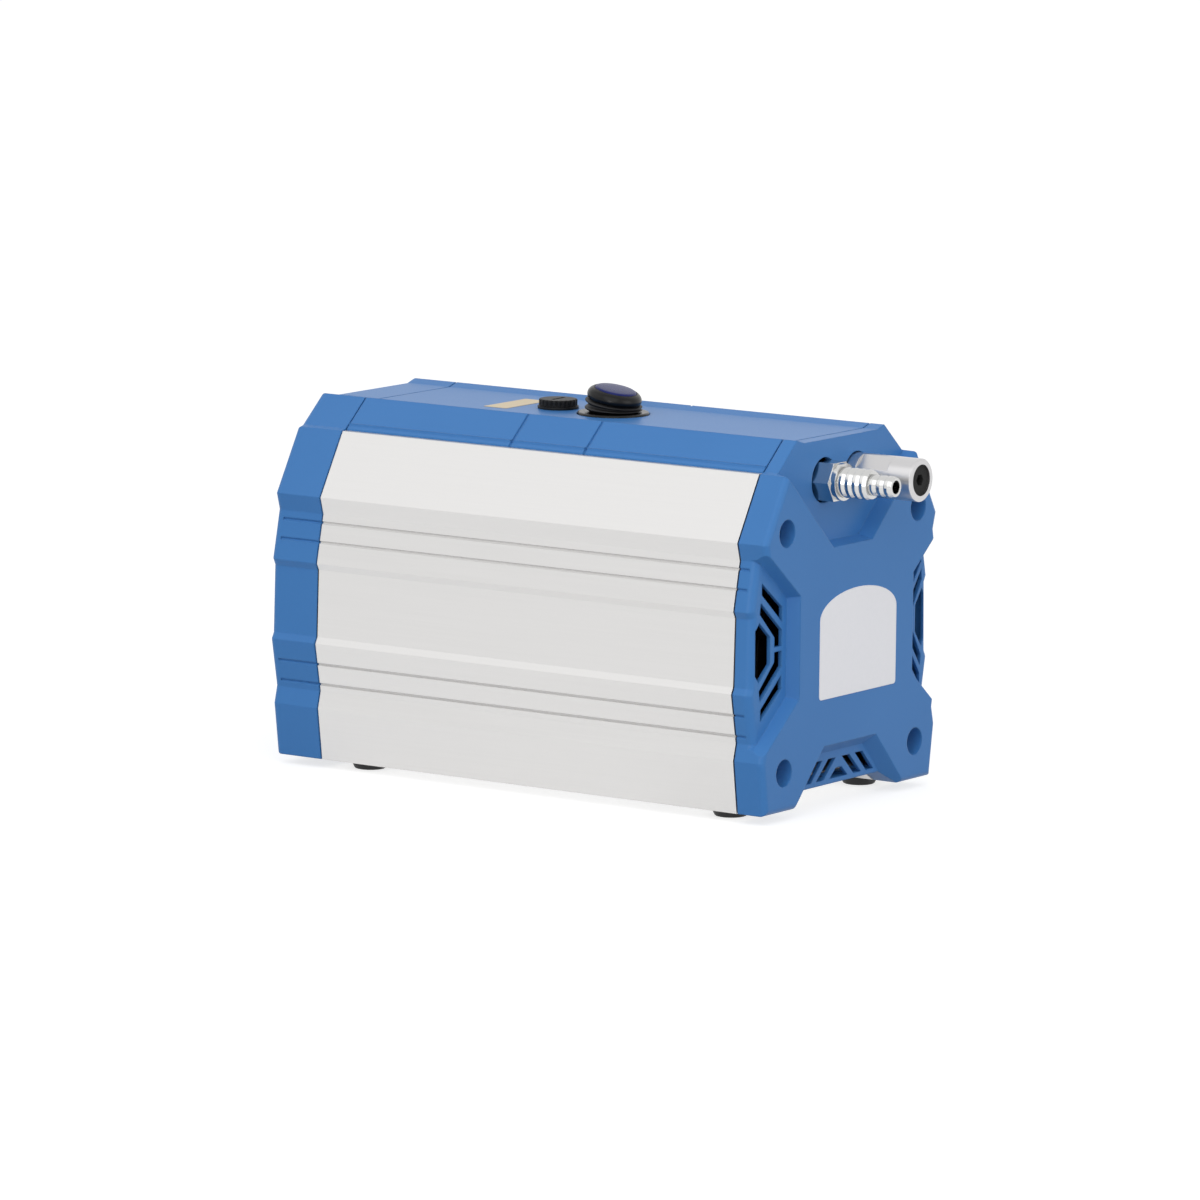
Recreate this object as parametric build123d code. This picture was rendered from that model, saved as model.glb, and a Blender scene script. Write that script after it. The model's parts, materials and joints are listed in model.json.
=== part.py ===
"""Bench-top diaphragm vacuum pump in an extruded housing between two moulded end covers.

Frame: +X and -X are the long sides, -Y is the front with the two gas ports, +Z is up.
Z = 0 is the surface that the rubber feet stand on.  Millimetres.
"""

import math
import os

from build123d import *

# ---- cross-section of the body: half widths as insets, heights above the underside ----
BODY_WIDTH = 121.0
BODY_HEIGHT = 134.2
UNDERSIDE_INSET = 4.7
SIDE_CENTRE = 59.5
SHOULDER_HALF = 39.8
LOW_SHOULDER_INSET = 1.9
HIGH_SHOULDER_INSET = 2.7
WAIST_HALF = 33.4
LOW_WAIST_INSET = 3.5
HIGH_WAIST_INSET = 4.6
RIB_HALF = 15.1
HIGH_RIB_INSET = 0.7
PANEL_HALF = 12.6
PANEL_DEPTH = 1.3
EDGE_DROP = 11.2
EDGE_HALF = 44.0
ROOF_STEP = 0.6
ROOF_LEDGE = 2.6
RIDGE_HALF = 29.1
RIDGE_LIP = 4.6
CHANNEL_DEPTH = 1.4
GROOVE_SIZE = 0.9
GROOVE_HEIGHTS = (28.7, 36.5, 82.6, 89.8)
ARCH_HEIGHT = 5.0
ARCH_HALF = 35.0
ARCH_SLANT = 8.0

# ---- lengths along Y ----
PROFILE_LENGTH = 186.8
FRONT_DEPTH = 12.0
REAR_DEPTH = 21.0
GASKET = 0.6
FOOT_HEIGHT = 3.5

# ---- housing extrusion and screw channels ----
PROFILE_WALL = 3.0
LEDGE_WIDTH = 8.0
LEDGE_THICKNESS = 2.5
SCREW_SPACING_X = 88.0
SCREW_SPACING_Z = 87.8
SCREW_LOW = 14.6
CHANNEL_RADIUS = 4.4
CHANNEL_WEB = 3.0
SCREW_CORE = 4.2
FOOT_SCREW = 4.0
FOOT_X = 43.0
FOOT_FRONT_SETBACK = 11.0
FOOT_REAR_SETBACK = 13.0
FOOT_RADIUS = 7.6
FOOT_TAPER = 1.8
FOOT_ROUND = 0.8
FOOT_HEAD = 3.6
FOOT_SEAT = 1.2
GASKET_INSET = PANEL_DEPTH + 0.3
SCREW_SHANK = 5.0
SCREW_HEAD = 9.4
SCREW_HEAD_HEIGHT = 2.8
SCREW_LENGTH = 16.0

# ---- moulded covers ----
COVER_WALL = 2.5
GRILLE_WALL = 1.5
EDGE_ROUND = 2.4
BOSS_RADIUS = 7.6
ACCESS_DIAMETER = 10.2
BOSS_FLOOR = 3.0
PORT_RECESS = 6.0
PORT_RECESS_HALF = 13.0
PORT_RECESS_FOOT = 93.9
PORT_RECESS_DRAFT = 14.0
PORT_SPACING = 21.6
PORT_HEIGHT = 117.9
PORT_HOLE = 16.8
SIDE_RECESS = 4.9
SIDE_RECESS_LEFT = 34.5
SIDE_RECESS_RIGHT = 41.5
SIDE_RECESS_STRAIGHT = 19.0
SIDE_RECESS_SLOPE = 0.81
SIDE_RECESS_DRAFT = 20.0
SIDE_ROUND = 3.0
SLOT_MARGIN = 4.7
SLOT_EDGE = 4.0
LOW_RECESS = 4.9
LOW_RECESS_DRAFT = 38.0
LOW_RECESS_TOP = 21.0
LOW_RECESS_TOP_HALF = 17.5
LOW_RECESS_FOOT_HALF = 37.0
# Air slots of the side grilles: share of the way out from the waist, height from the side's centre.
SIDE_SLOTS = (
    ((0.0, 9.7), (0.78, 21.0), (0.78, 25.3), (0.0, 15.1)),
    ((0.0, 0.9), (0.28, 0.9), (0.28, 4.5), (0.85, 14.1), (0.81, 18.2), (0.0, 6.7)),
    ((0.0, -0.9), (0.28, -0.9), (0.28, -4.5), (0.85, -14.1), (0.81, -18.2), (0.0, -6.7)),
    ((0.0, -9.7), (0.78, -21.0), (0.78, -25.3), (0.0, -15.1)),
    ((0.44, -5.0), (0.86, -11.0), (1.0, -8.3), (1.0, 8.3), (0.86, 11.0), (0.44, 5.0)),
)
# Air slots over the arch: half width at the foot, half width at the head, for the sloping pairs.
LOW_SLOTS = ((12.6, 4.6), (21.0, 13.4))
LOW_SLOT_WIDTH = 5.0
LOW_SLOT_FOOT = 6.8
LOW_SLOT_HEAD = 14.3
LOW_SLOT_MIDDLE = (6.0, 2.0, 10.4)
REAR_SLOT_HALF = 30.0
REAR_SLOT_HEIGHT = 3.6
REAR_SLOT_PITCH = 7.2
REAR_SLOTS = 7
REAR_GRILLE_FOOT = 52.0
INLET_HEIGHT = 28.0
INLET_WIDTH = 27.0
INLET_TALL = 19.5
INLET_DEPTH = 24.0
INLET_FLANGE = 3.0
INLET_FLANGE_WIDTH = 48.0
INLET_FLANGE_TALL = 27.0
INLET_SCREWS = 40.0
PIN_REACH = 16.0

# ---- roof panel ----
LIP_DROP = 6.0
LIP_WALL = 2.0
FIT = 0.2
ROOF_GROOVE = 0.5
ROOF_GROOVE_BACK = 74.6
ROOF_GROOVE_GAP = 33.3
SWITCH_BACK = 92.4
FUSE_BACK = 67.4
SWITCH_RECESS = 27.6
SWITCH_RECESS_DEPTH = 1.2
SWITCH_HOLE = 20.2
FUSE_HOLE = 12.4

# ---- ports ----
NOZZLE_REACH = 31.0
HEX_ACROSS = 14.0
HEX_REACH = 6.8
COLLAR_DIAMETER = 13.7
COLLAR_LENGTH = 2.2
HOSE_LARGE = 11.4
HOSE_LARGE_ROOT = 10.3
HOSE_LARGE_LENGTH = 12.2
HOSE_SMALL = 7.9
HOSE_SMALL_ROOT = 7.0
BARB_LAND = 1.2
BARB_COUNT_LARGE = 4
BARB_COUNT_SMALL = 3
NOZZLE_BORE = 5.0
PORT_THREAD = 9.7
THREAD_LENGTH = 8.0
SILENCER_DIAMETER = 15.9
SILENCER_REACH = 28.2
SILENCER_BORE = 11.6
SILENCER_FLAT = 0.9
FLAT_LENGTH = 13.6
FLAT_SETBACK = 10.5
FLAT_TURN = 52.0
SILENCER_SINK = 0.8
SILENCER_MOUTH = 4.0
PORT_SEAL = 12.4
SEAL_DEPTH = 1.4

# ---- pump and motor ----
AXIS_HEIGHT = 56.0
CRANK_SETBACK = 44.5
CASE_WIDTH = 64.0
CASE_DEPTH = 62.0
CHAMBER_HALF = 24.0
CHAMBER_DEPTH = 34.0
CASE_TOP = 86.0
CASE_CAP = 4.0
ECCENTRICITY = 3.0
ECCENTRIC_RADIUS = 8.5
ROD_BEARING_OUTER = 30.0
ROD_WIDTH = 7.0
ROD_RIM = 4.0
RUN_GAP = 0.02
SHAFT_DIAMETER = 8.0
BEARING_OUTER = 22.0
BEARING_WIDTH = 7.0
DIAPHRAGM_RADIUS = 30.0
DIAPHRAGM_THICKNESS = 2.5
CHAMBER_RADIUS = 23.0
CLAMP_RADIUS = 14.0
PLATE_THICKNESS = 13.0
VALVE_GAP = 1.2
HEAD_ABOVE_PORT = 8.5
HEAD_SCREW_X = 27.0
HEAD_SCREW_Y = 20.0
STATOR_DIAMETER = 68.0
STATOR_LENGTH = 40.0
STATOR_BORE = 38.0
WINDING_LENGTH = 12.0
WINDING_DIAMETER = 58.0
PILOT_LENGTH = 16.0
SHIELD_WIDTH = 64.0
SHIELD_THICKNESS = 12.0
TIE_SPACING = 54.0
FAN_DIAMETER = 80.0
FAN_WIDTH = 7.0
FAN_BLADES = 11
FAN_HUB = 22.0
AIR_GAP = 0.3
MOUNT_RADIUS = 8.0
MOUNT_HEIGHT = 5.0
CRADLE_WIDTH = 60.0
CRADLE_THICKNESS = 2.0
HEAD_ROUND = 5.0
HEAD_SCREW = 4.0
VALVE_RADIUS = 8.0
VALVE_HOLE = 2.5
VALVE_OFFSET = 11.0
PASSAGE_RADIUS = 3.0
HEAD_RIB_COUNT = 5
HEAD_RIB_PITCH = 8.0
HEAD_RIB_GAP = 4.0
CHAMBER_RISE = 8.0
DIAPHRAGM_HOLE = 2.5
CLAMP_THICKNESS = 2.6
SUPPORT_THICKNESS = 3.0
PILOT_RADIUS = 33.0
PILOT_BORE = 30.5
TIE_RADIUS = 2.0
TIE_GRIP = 7.0
HEAD_GRIP = 10.0
LID_THICKNESS = 3.0
LID_SCREW = 3.0
LID_GRIP = 6.0
LID_X = 28.5
FAN_CLEARANCE = 4.0
COUNTER_RADIUS = 20.0
COUNTER_WIDTH = 7.0
COUNTER_GAP = 0.5
STATOR_SLOTS = 12
SHIELD_VENTS = 8

# ---- switch and fuse ----
FLANGE_DIAMETER = 27.0
FLANGE_HEIGHT = 2.0
SWITCH_DEPTH = 22.0
BOOT_RADIUS = 10.4
BOOT_FOLD_DEPTH = 1.5
BOOT_FOLDS = 2
SWITCH_WELL = 6.6
BUTTON_FOOT = 2.4
ROCKER_DIAMETER = 20.4
ROCKER_HEIGHT = 6.2
ROCKER_TILT = 12.0
ROCKER_PIVOT = 5.2
LENS_DIAMETER = 16.4
LENS_HEIGHT = 0.9
TAG_LENGTH = 6.0
STEM_RADIUS = 3.0
PIN_RADIUS = 1.2
FUSE_FLANGE = 15.4
FUSE_FLANGE_HEIGHT = 1.0
FUSE_CAP_HEIGHT = 2.6
FUSE_CAP_RADIUS = 7.2
FUSE_FLUTES = 24
FUSE_DEPTH = 26.0
FUSE_TUBE = 4.0
FUSE_GLASS_RADIUS = 2.5
FUSE_GLASS_LENGTH = 20.0

# ---- mains inlet and capacitor ----
CAPACITOR_RADIUS = 11.0
CAPACITOR_LENGTH = 50.0
CAPACITOR_RISE = 4.0
CLIP_WALL = 1.5
CLIP_WIDTH = 16.0
INLET_WALL = 1.5
INLET_CORNER = 4.5
INLET_SCREW = 3.2
INLET_SCREW_HEAD = 6.0
INLET_SINK = 1.2
PIN_WIDTH = 2.0
PIN_TALL = 4.0
PIN_SINK = 2.5
TERMINAL_LENGTH = 24.0

# ---- derived places ----
HALF = BODY_WIDTH / 2
TOP = FOOT_HEIGHT + BODY_HEIGHT
BODY_LENGTH = PROFILE_LENGTH + 2 * GASKET + FRONT_DEPTH + REAR_DEPTH
REACH = NOZZLE_REACH - PORT_RECESS
REAR_FACE = (BODY_LENGTH + REACH) / 2
REAR_SEAM = REAR_FACE - REAR_DEPTH
PROFILE_REAR = REAR_SEAM - GASKET
PROFILE_FRONT = PROFILE_REAR - PROFILE_LENGTH
FRONT_SEAM = PROFILE_FRONT - GASKET
FACE = FRONT_SEAM - FRONT_DEPTH
PORT_PLANE = FACE + PORT_RECESS
SIDE_FLOOR = FACE + SIDE_RECESS
LOW_FLOOR = FACE + LOW_RECESS
PORT_Z = FOOT_HEIGHT + PORT_HEIGHT
PORT_X = PORT_SPACING / 2
SIDE_Z = FOOT_HEIGHT + SIDE_CENTRE
FLOOR = FOOT_HEIGHT + PROFILE_WALL
MIDDLE_FLOOR = FLOOR + ARCH_HEIGHT
CRANK_Y = PROFILE_FRONT + CRANK_SETBACK
CASE_FRONT = CRANK_Y - CASE_DEPTH / 2
CASE_REAR = CRANK_Y + CASE_DEPTH / 2
STATOR_FRONT = CASE_REAR + PILOT_LENGTH
STATOR_REAR = STATOR_FRONT + STATOR_LENGTH
SHIELD_FRONT = STATOR_REAR + PILOT_LENGTH
SHIELD_REAR = SHIELD_FRONT + SHIELD_THICKNESS
CRADLE_TOP = MIDDLE_FLOOR + MOUNT_HEIGHT + CRADLE_THICKNESS
HEAD_BOTTOM = CASE_TOP + DIAPHRAGM_THICKNESS
PLATE_TOP = HEAD_BOTTOM + PLATE_THICKNESS
HEAD_TOP = PORT_Z + HEAD_ABOVE_PORT
HEAD_FRONT = CRANK_Y - CASE_DEPTH / 2
ROOF_Z = TOP - CHANNEL_DEPTH
SCREW_POINTS = [
    (side * SCREW_SPACING_X / 2, FOOT_HEIGHT + SCREW_LOW + level * SCREW_SPACING_Z)
    for side in (-1, 1)
    for level in (0, 1)
]
ROOF_FRONT = PROFILE_FRONT
ROOF_REAR = PROFILE_REAR
SWITCH_Y = PROFILE_REAR - SWITCH_BACK
FUSE_Y = PROFILE_REAR - FUSE_BACK
FLANGE_FOOT = ROOF_Z - SWITCH_RECESS_DEPTH
PIVOT_Z = FLANGE_FOOT + ROCKER_PIVOT
FAN_REAR = CASE_FRONT - LID_THICKNESS - FAN_CLEARANCE
FAN_FRONT = FAN_REAR - FAN_WIDTH


# ---- small shape helpers ----
def block(x0, x1, y0, y1, z0, z1):
    """A box between two corners."""
    return Pos((x0 + x1) / 2, (y0 + y1) / 2, (z0 + z1) / 2) * Box(x1 - x0, y1 - y0, z1 - z0)


def rod_x(radius, y, z, left, right):
    """A cylinder along X."""
    return Pos((left + right) / 2, y, z) * Rot(0, 90, 0) * Cylinder(radius, right - left)


def rod_y(radius, x, z, front, rear):
    """A cylinder along Y."""
    return Pos(x, (front + rear) / 2, z) * Rot(90, 0, 0) * Cylinder(radius, rear - front)


def rod_z(radius, x, y, low, high):
    """An upright cylinder."""
    return Pos(x, y, (low + high) / 2) * Cylinder(radius, high - low)


def prism(points, front, rear):
    """A polygon of (x, z) points, run from front to rear along Y."""
    face = Plane.XZ * make_face(Polyline(*points, close=True))
    return Pos(0, rear, 0) * extrude(face, rear - front)


def pocket(points, floor, draft):
    """A pocket in the front face whose walls close in by the draft angle down to its floor."""
    face = Plane.XZ * make_face(Polyline(*points, close=True))
    tapered = extrude(Pos(0, FACE, 0) * face, floor - FACE, dir=(0, 1, 0), taper=draft)
    return tapered + prism(points, FACE - 5, FACE)


def inset(points, distance):
    """The polygon moved inwards by a wall, its corners kept sharp. Points run anticlockwise."""
    lines = []
    for (x0, z0), (x1, z1) in zip(points, points[1:] + points[:1]):
        length = math.hypot(x1 - x0, z1 - z0)
        dx, dz = (x1 - x0) / length, (z1 - z0) / length
        lines.append((x0 - dz * distance, z0 + dx * distance, dx, dz))
    corners = []
    for (ax, az, adx, adz), (bx, bz, bdx, bdz) in zip(lines[-1:] + lines[:-1], lines):
        along = ((bx - ax) * bdz - (bz - az) * bdx) / (adx * bdz - adz * bdx)
        corners.append((ax + along * adx, az + along * adz))
    return corners


def mirrored(right_half):
    """A closed outline from its right half, listed from the bottom up."""
    return right_half + [(-x, z) for x, z in reversed(right_half)]


def both_sides(shape):
    """A shape and its mirror image across the middle of the pump."""
    return shape + mirror(shape, Plane.YZ)


# ---- the body's section ----
def side_points():
    """Right side of the section from the raised floor to the shoulder, as (x, z)."""
    low = FOOT_HEIGHT + SIDE_CENTRE
    return [
        (ARCH_HALF - ARCH_SLANT, FOOT_HEIGHT + ARCH_HEIGHT),
        (ARCH_HALF, FOOT_HEIGHT),
        (HALF - UNDERSIDE_INSET, FOOT_HEIGHT),
        (HALF - LOW_SHOULDER_INSET, low - SHOULDER_HALF),
        (HALF - LOW_WAIST_INSET, low - WAIST_HALF),
        (HALF, low - RIB_HALF),
        (HALF - PANEL_DEPTH, low - PANEL_HALF),
        (HALF - HIGH_RIB_INSET - PANEL_DEPTH, low + PANEL_HALF),
        (HALF - HIGH_RIB_INSET, low + RIB_HALF),
        (HALF - HIGH_WAIST_INSET, low + WAIST_HALF),
        (HALF - HIGH_SHOULDER_INSET, low + SHOULDER_HALF),
    ]


def wall_points():
    """The same side without the panel's shallow steps, which the inside of a wall skips."""
    points = side_points()
    return points[:6] + points[8:]


EDGE_POINT = (EDGE_HALF, TOP - EDGE_DROP)
ROOF_EDGE = (EDGE_HALF - ROOF_LEDGE, TOP - EDGE_DROP + ROOF_STEP)
RIDGE_POINT = (RIDGE_HALF, TOP)
RIDGE_INNER = (RIDGE_HALF - RIDGE_LIP, ROOF_Z)


def body_outline():
    """The whole section, as the end covers show it."""
    return mirrored(side_points() + [EDGE_POINT, ROOF_EDGE, RIDGE_POINT, RIDGE_INNER])


def cavity_outline(wall):
    """The inside of a cover of this wall."""
    return inset(mirrored(wall_points() + [EDGE_POINT, (RIDGE_POINT[0], ROOF_Z)]), wall)


def side_x(height):
    """Half width of the body's side at a height above the underside."""
    points = side_points()[2:]
    z = FOOT_HEIGHT + height
    for (x0, z0), (x1, z1) in zip(points, points[1:]):
        if z0 <= z <= z1:
            return x0 + (x1 - x0) * (z - z0) / (z1 - z0)
    return points[-1][0]


def groove_bars(front, rear):
    """Square bars that cut the four fine grooves along each side."""
    bars = Part()
    for height in GROOVE_HEIGHTS:
        bar = Box(GROOVE_SIZE, rear - front, GROOVE_SIZE)
        place = Pos(side_x(height), (front + rear) / 2, FOOT_HEIGHT + height)
        bars += place * Rot(0, 45, 0) * bar
    return both_sides(bars)


# ---- housing ----
def housing_profile():
    """Extruded trough: sides, floor, a ledge for the roof and four screw channels."""
    outer = mirrored(side_points() + [EDGE_POINT])
    profile = prism(outer, PROFILE_FRONT, PROFILE_REAR)
    hollow = inset(mirrored(wall_points() + [EDGE_POINT]), PROFILE_WALL)
    hollow = [(x, min(z, EDGE_POINT[1] - LEDGE_THICKNESS)) for x, z in hollow]
    profile -= prism(hollow, PROFILE_FRONT - 1, PROFILE_REAR + 1)
    mouth = EDGE_POINT[0] - LEDGE_WIDTH
    profile -= block(-mouth, mouth, PROFILE_FRONT - 1, PROFILE_REAR + 1, SIDE_Z, TOP)
    shell = prism(outer, PROFILE_FRONT, PROFILE_REAR)
    for x, z in SCREW_POINTS:
        side = math.copysign(1, x)
        wall = side_x(z - FOOT_HEIGHT)
        tube = rod_y(CHANNEL_RADIUS, x, z, PROFILE_FRONT, PROFILE_REAR)
        reach = sorted((x, side * (wall - PROFILE_WALL / 2)))
        web = block(*reach, PROFILE_FRONT, PROFILE_REAR, z - CHANNEL_WEB / 2, z + CHANNEL_WEB / 2)
        profile += tube + (web & shell)
    for x, z in SCREW_POINTS:
        profile -= rod_y(SCREW_CORE / 2, x, z, PROFILE_FRONT - 1, PROFILE_REAR + 1)
    for x, y in foot_places():
        profile -= rod_z(FOOT_SCREW / 2, x, y, FOOT_HEIGHT - 1, FLOOR + 1)
    for x, y in mount_places():
        profile -= rod_z(FOOT_SCREW / 2, x, y, FOOT_HEIGHT, MIDDLE_FLOOR + 1)
    return profile - groove_bars(PROFILE_FRONT - 1, PROFILE_REAR + 1)


def foot_places():
    """Centres of the four feet."""
    ends = (PROFILE_FRONT + FOOT_FRONT_SETBACK, PROFILE_REAR - FOOT_REAR_SETBACK)
    return [(side * FOOT_X, y) for side in (-1, 1) for y in ends]


def mount_places():
    """Centres of the four rubber mounts under the pump and motor."""
    ends = (CASE_FRONT + MOUNT_RADIUS, SHIELD_REAR - MOUNT_RADIUS)
    x = CRADLE_WIDTH / 2 - MOUNT_RADIUS
    return [(side * x, y) for side in (-1, 1) for y in ends]


def rubber_feet():
    """Four tapered buffers with a pocket for the screw head."""
    feet = Part()
    for x, y in foot_places():
        foot = Pos(x, y, FOOT_HEIGHT / 2) * Rot(180, 0, 0) * Cone(
            FOOT_RADIUS, FOOT_RADIUS - FOOT_TAPER, FOOT_HEIGHT
        )
        foot = fillet(foot.edges().sort_by(Axis.Z)[0], FOOT_ROUND)
        foot -= rod_z(FOOT_HEAD, x, y, -1, FOOT_HEIGHT - FOOT_SEAT)
        foot -= rod_z(FOOT_SCREW / 2, x, y, -1, FOOT_HEIGHT + 1)
        feet += foot
    return feet


def foot_screws():
    """Screws from below through the feet into the floor of the extrusion."""
    screws = Part()
    for x, y in foot_places():
        screws += rod_z(FOOT_HEAD, x, y, FOOT_HEIGHT - FOOT_SEAT - 1.4, FOOT_HEIGHT - FOOT_SEAT)
        screws += rod_z(FOOT_SCREW / 2, x, y, FOOT_HEIGHT - FOOT_SEAT, FLOOR)
    return screws


def seam_gasket(front):
    """Thin rubber frame between the extrusion and an end cover."""
    rear = front + GASKET
    outline = mirrored(wall_points() + [EDGE_POINT, (RIDGE_POINT[0], ROOF_Z)])
    frame = prism(inset(outline, GASKET_INSET), front, rear)
    frame -= prism(cavity_outline(COVER_WALL), front - 1, rear + 1)
    for x, z in SCREW_POINTS:
        frame -= rod_y(SCREW_SHANK / 2 + FIT, x, z, front - 1, rear + 1)
    return frame


def cover_screws(seat, direction):
    """Four screws through one end cover. They point along Y in the given direction."""
    screws = Part()
    for x, z in SCREW_POINTS:
        head = sorted((seat, seat - direction * SCREW_HEAD_HEIGHT))
        shank = sorted((seat, seat + direction * (BOSS_FLOOR + GASKET)))
        core = sorted((seat + direction * (BOSS_FLOOR + GASKET), seat + direction * SCREW_LENGTH))
        screw = rod_y(SCREW_HEAD / 2, x, z, *head)
        screw += rod_y(SCREW_SHANK / 2, x, z, *shank)
        screw += rod_y(SCREW_CORE / 2, x, z, *core)
        drive = sorted((seat - direction * SCREW_HEAD_HEIGHT * 1.5, seat - direction * 1.2))
        screw -= Pos(x, (drive[0] + drive[1]) / 2, z) * Rot(90, 0, 0) * extrude(
            RegularPolygon(2.0, 6), (drive[1] - drive[0]) / 2, both=True
        )
        screws += screw
    return screws


# ---- end covers ----
def side_recess_points(half, grow=0.0):
    """Right-hand waist of the front cover, open to the side."""
    outside = HALF + 20
    rise = (outside - half) * SIDE_RECESS_SLOPE
    straight = SIDE_RECESS_STRAIGHT + grow * 0.45
    return [
        (half - grow, SIDE_Z - straight),
        (outside, SIDE_Z - straight - rise - grow),
        (outside, SIDE_Z + straight + rise + grow),
        (half - grow, SIDE_Z + straight),
    ]


def low_recess_points(grow=0.0):
    """Recess over the lower air slots, open at the underside."""
    drop = 10.0
    spread = (LOW_RECESS_FOOT_HALF - LOW_RECESS_TOP_HALF) / LOW_RECESS_TOP
    foot_half = LOW_RECESS_FOOT_HALF + spread * drop + grow
    top_half = LOW_RECESS_TOP_HALF + grow * 0.5
    top = FOOT_HEIGHT + LOW_RECESS_TOP + grow
    foot = FOOT_HEIGHT - drop
    return [(-foot_half, foot), (foot_half, foot), (top_half, top), (-top_half, top)]


def port_recess_points(grow=0.0):
    """Recess round the two ports, open at the top."""
    foot = FOOT_HEIGHT + PORT_RECESS_FOOT - grow
    half = PORT_RECESS_HALF + grow * 0.5
    width = EDGE_POINT[0] - PORT_RECESS_HALF
    slope = width / (EDGE_POINT[1] - FOOT_HEIGHT - PORT_RECESS_FOOT)
    top = TOP + 20
    top_half = half + slope * (top - foot)
    return [(-half, foot), (half, foot), (top_half, top), (-top_half, top)]


def front_recesses(wall):
    """The four recesses of the front cover, or with a wall the solid skin behind them."""
    skin = wall and GRILLE_WALL
    side_floor = SIDE_FLOOR + skin
    left = pocket(side_recess_points(SIDE_RECESS_LEFT, wall), side_floor, SIDE_RECESS_DRAFT)
    right = pocket(side_recess_points(SIDE_RECESS_RIGHT, wall), side_floor, SIDE_RECESS_DRAFT)
    port = pocket(port_recess_points(wall), PORT_PLANE + wall, PORT_RECESS_DRAFT)
    low = pocket(low_recess_points(wall), LOW_FLOOR + skin, LOW_RECESS_DRAFT)
    return [port, mirror(left, Plane.YZ), right, low]


def side_slots(half, front, rear):
    """The five slots of one side grille, drawn on the right."""
    inner = half + SLOT_MARGIN
    span = HALF - SLOT_EDGE - inner
    slots = Part()
    for slot in SIDE_SLOTS:
        slots += prism([(inner + share * span, SIDE_Z + rise) for share, rise in slot], front, rear)
    return slots


def low_slots(front, rear):
    """The fan of five slots over the arch."""
    foot = FOOT_HEIGHT + LOW_SLOT_FOOT
    head = FOOT_HEIGHT + LOW_SLOT_HEAD
    half = LOW_SLOT_WIDTH / 2
    slots = Part()
    for foot_x, head_x in LOW_SLOTS:
        points = [(foot_x - half, foot), (foot_x + half, foot)]
        points += [(head_x + half, head), (head_x - half, head)]
        slots += both_sides(prism(points, front, rear))
    wide, narrow, height = LOW_SLOT_MIDDLE
    top = FOOT_HEIGHT + height
    slots += prism([(-wide, foot), (wide, foot), (narrow, top), (-narrow, top)], front, rear)
    return slots


def side_rounding():
    """What a rounded outer edge takes off the floors of the two side recesses."""
    core = prism(body_outline(), SIDE_FLOOR, FRONT_SEAM)
    core = fillet(core.faces().sort_by(Axis.Y)[0].edges(), SIDE_ROUND)
    rise = SIDE_RECESS * math.tan(math.radians(SIDE_RECESS_DRAFT))
    left = prism(side_recess_points(SIDE_RECESS_LEFT, -rise), FACE, FRONT_SEAM)
    right = prism(side_recess_points(SIDE_RECESS_RIGHT, -rise), FACE, FRONT_SEAM)
    return mirror(left, Plane.YZ) + right - core


def front_shell():
    """The rounded outside of the front cover with its four recesses."""
    cover = prism(body_outline(), FACE, FRONT_SEAM)
    rim = cover.faces().sort_by(Axis.Y)[0].edges()
    cover = fillet(rim, EDGE_ROUND)
    for recess in front_recesses(0):
        cover -= recess
    return cover - side_rounding()


def front_cover():
    """Moulded front: recessed grilles and ports, screw bosses and a hollow back."""
    cover = front_shell()
    hollow = prism(cavity_outline(COVER_WALL), FACE + COVER_WALL, FRONT_SEAM + 1)
    for skin in front_recesses(COVER_WALL):
        hollow -= skin
    for x, z in SCREW_POINTS:
        hollow -= rod_y(BOSS_RADIUS, x, z, FACE, FRONT_SEAM + 1)
    cover -= hollow
    for x, z in SCREW_POINTS:
        cover -= rod_y(ACCESS_DIAMETER / 2, x, z, FACE - 1, FRONT_SEAM - BOSS_FLOOR)
        cover -= rod_y(SCREW_SHANK / 2 + FIT, x, z, FACE - 1, FRONT_SEAM + 1)
    for side in (-1, 1):
        cover -= rod_y(PORT_HOLE / 2, side * PORT_X, PORT_Z, FACE - 1, FRONT_SEAM + 1)
    cover -= mirror(side_slots(SIDE_RECESS_LEFT, FACE - 1, FRONT_SEAM - 1), Plane.YZ)
    cover -= side_slots(SIDE_RECESS_RIGHT, FACE - 1, FRONT_SEAM - 1)
    cover -= low_slots(FACE - 1, FRONT_SEAM - 1)
    return cover - groove_bars(SIDE_FLOOR + SIDE_ROUND, FRONT_SEAM + 1)


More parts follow.
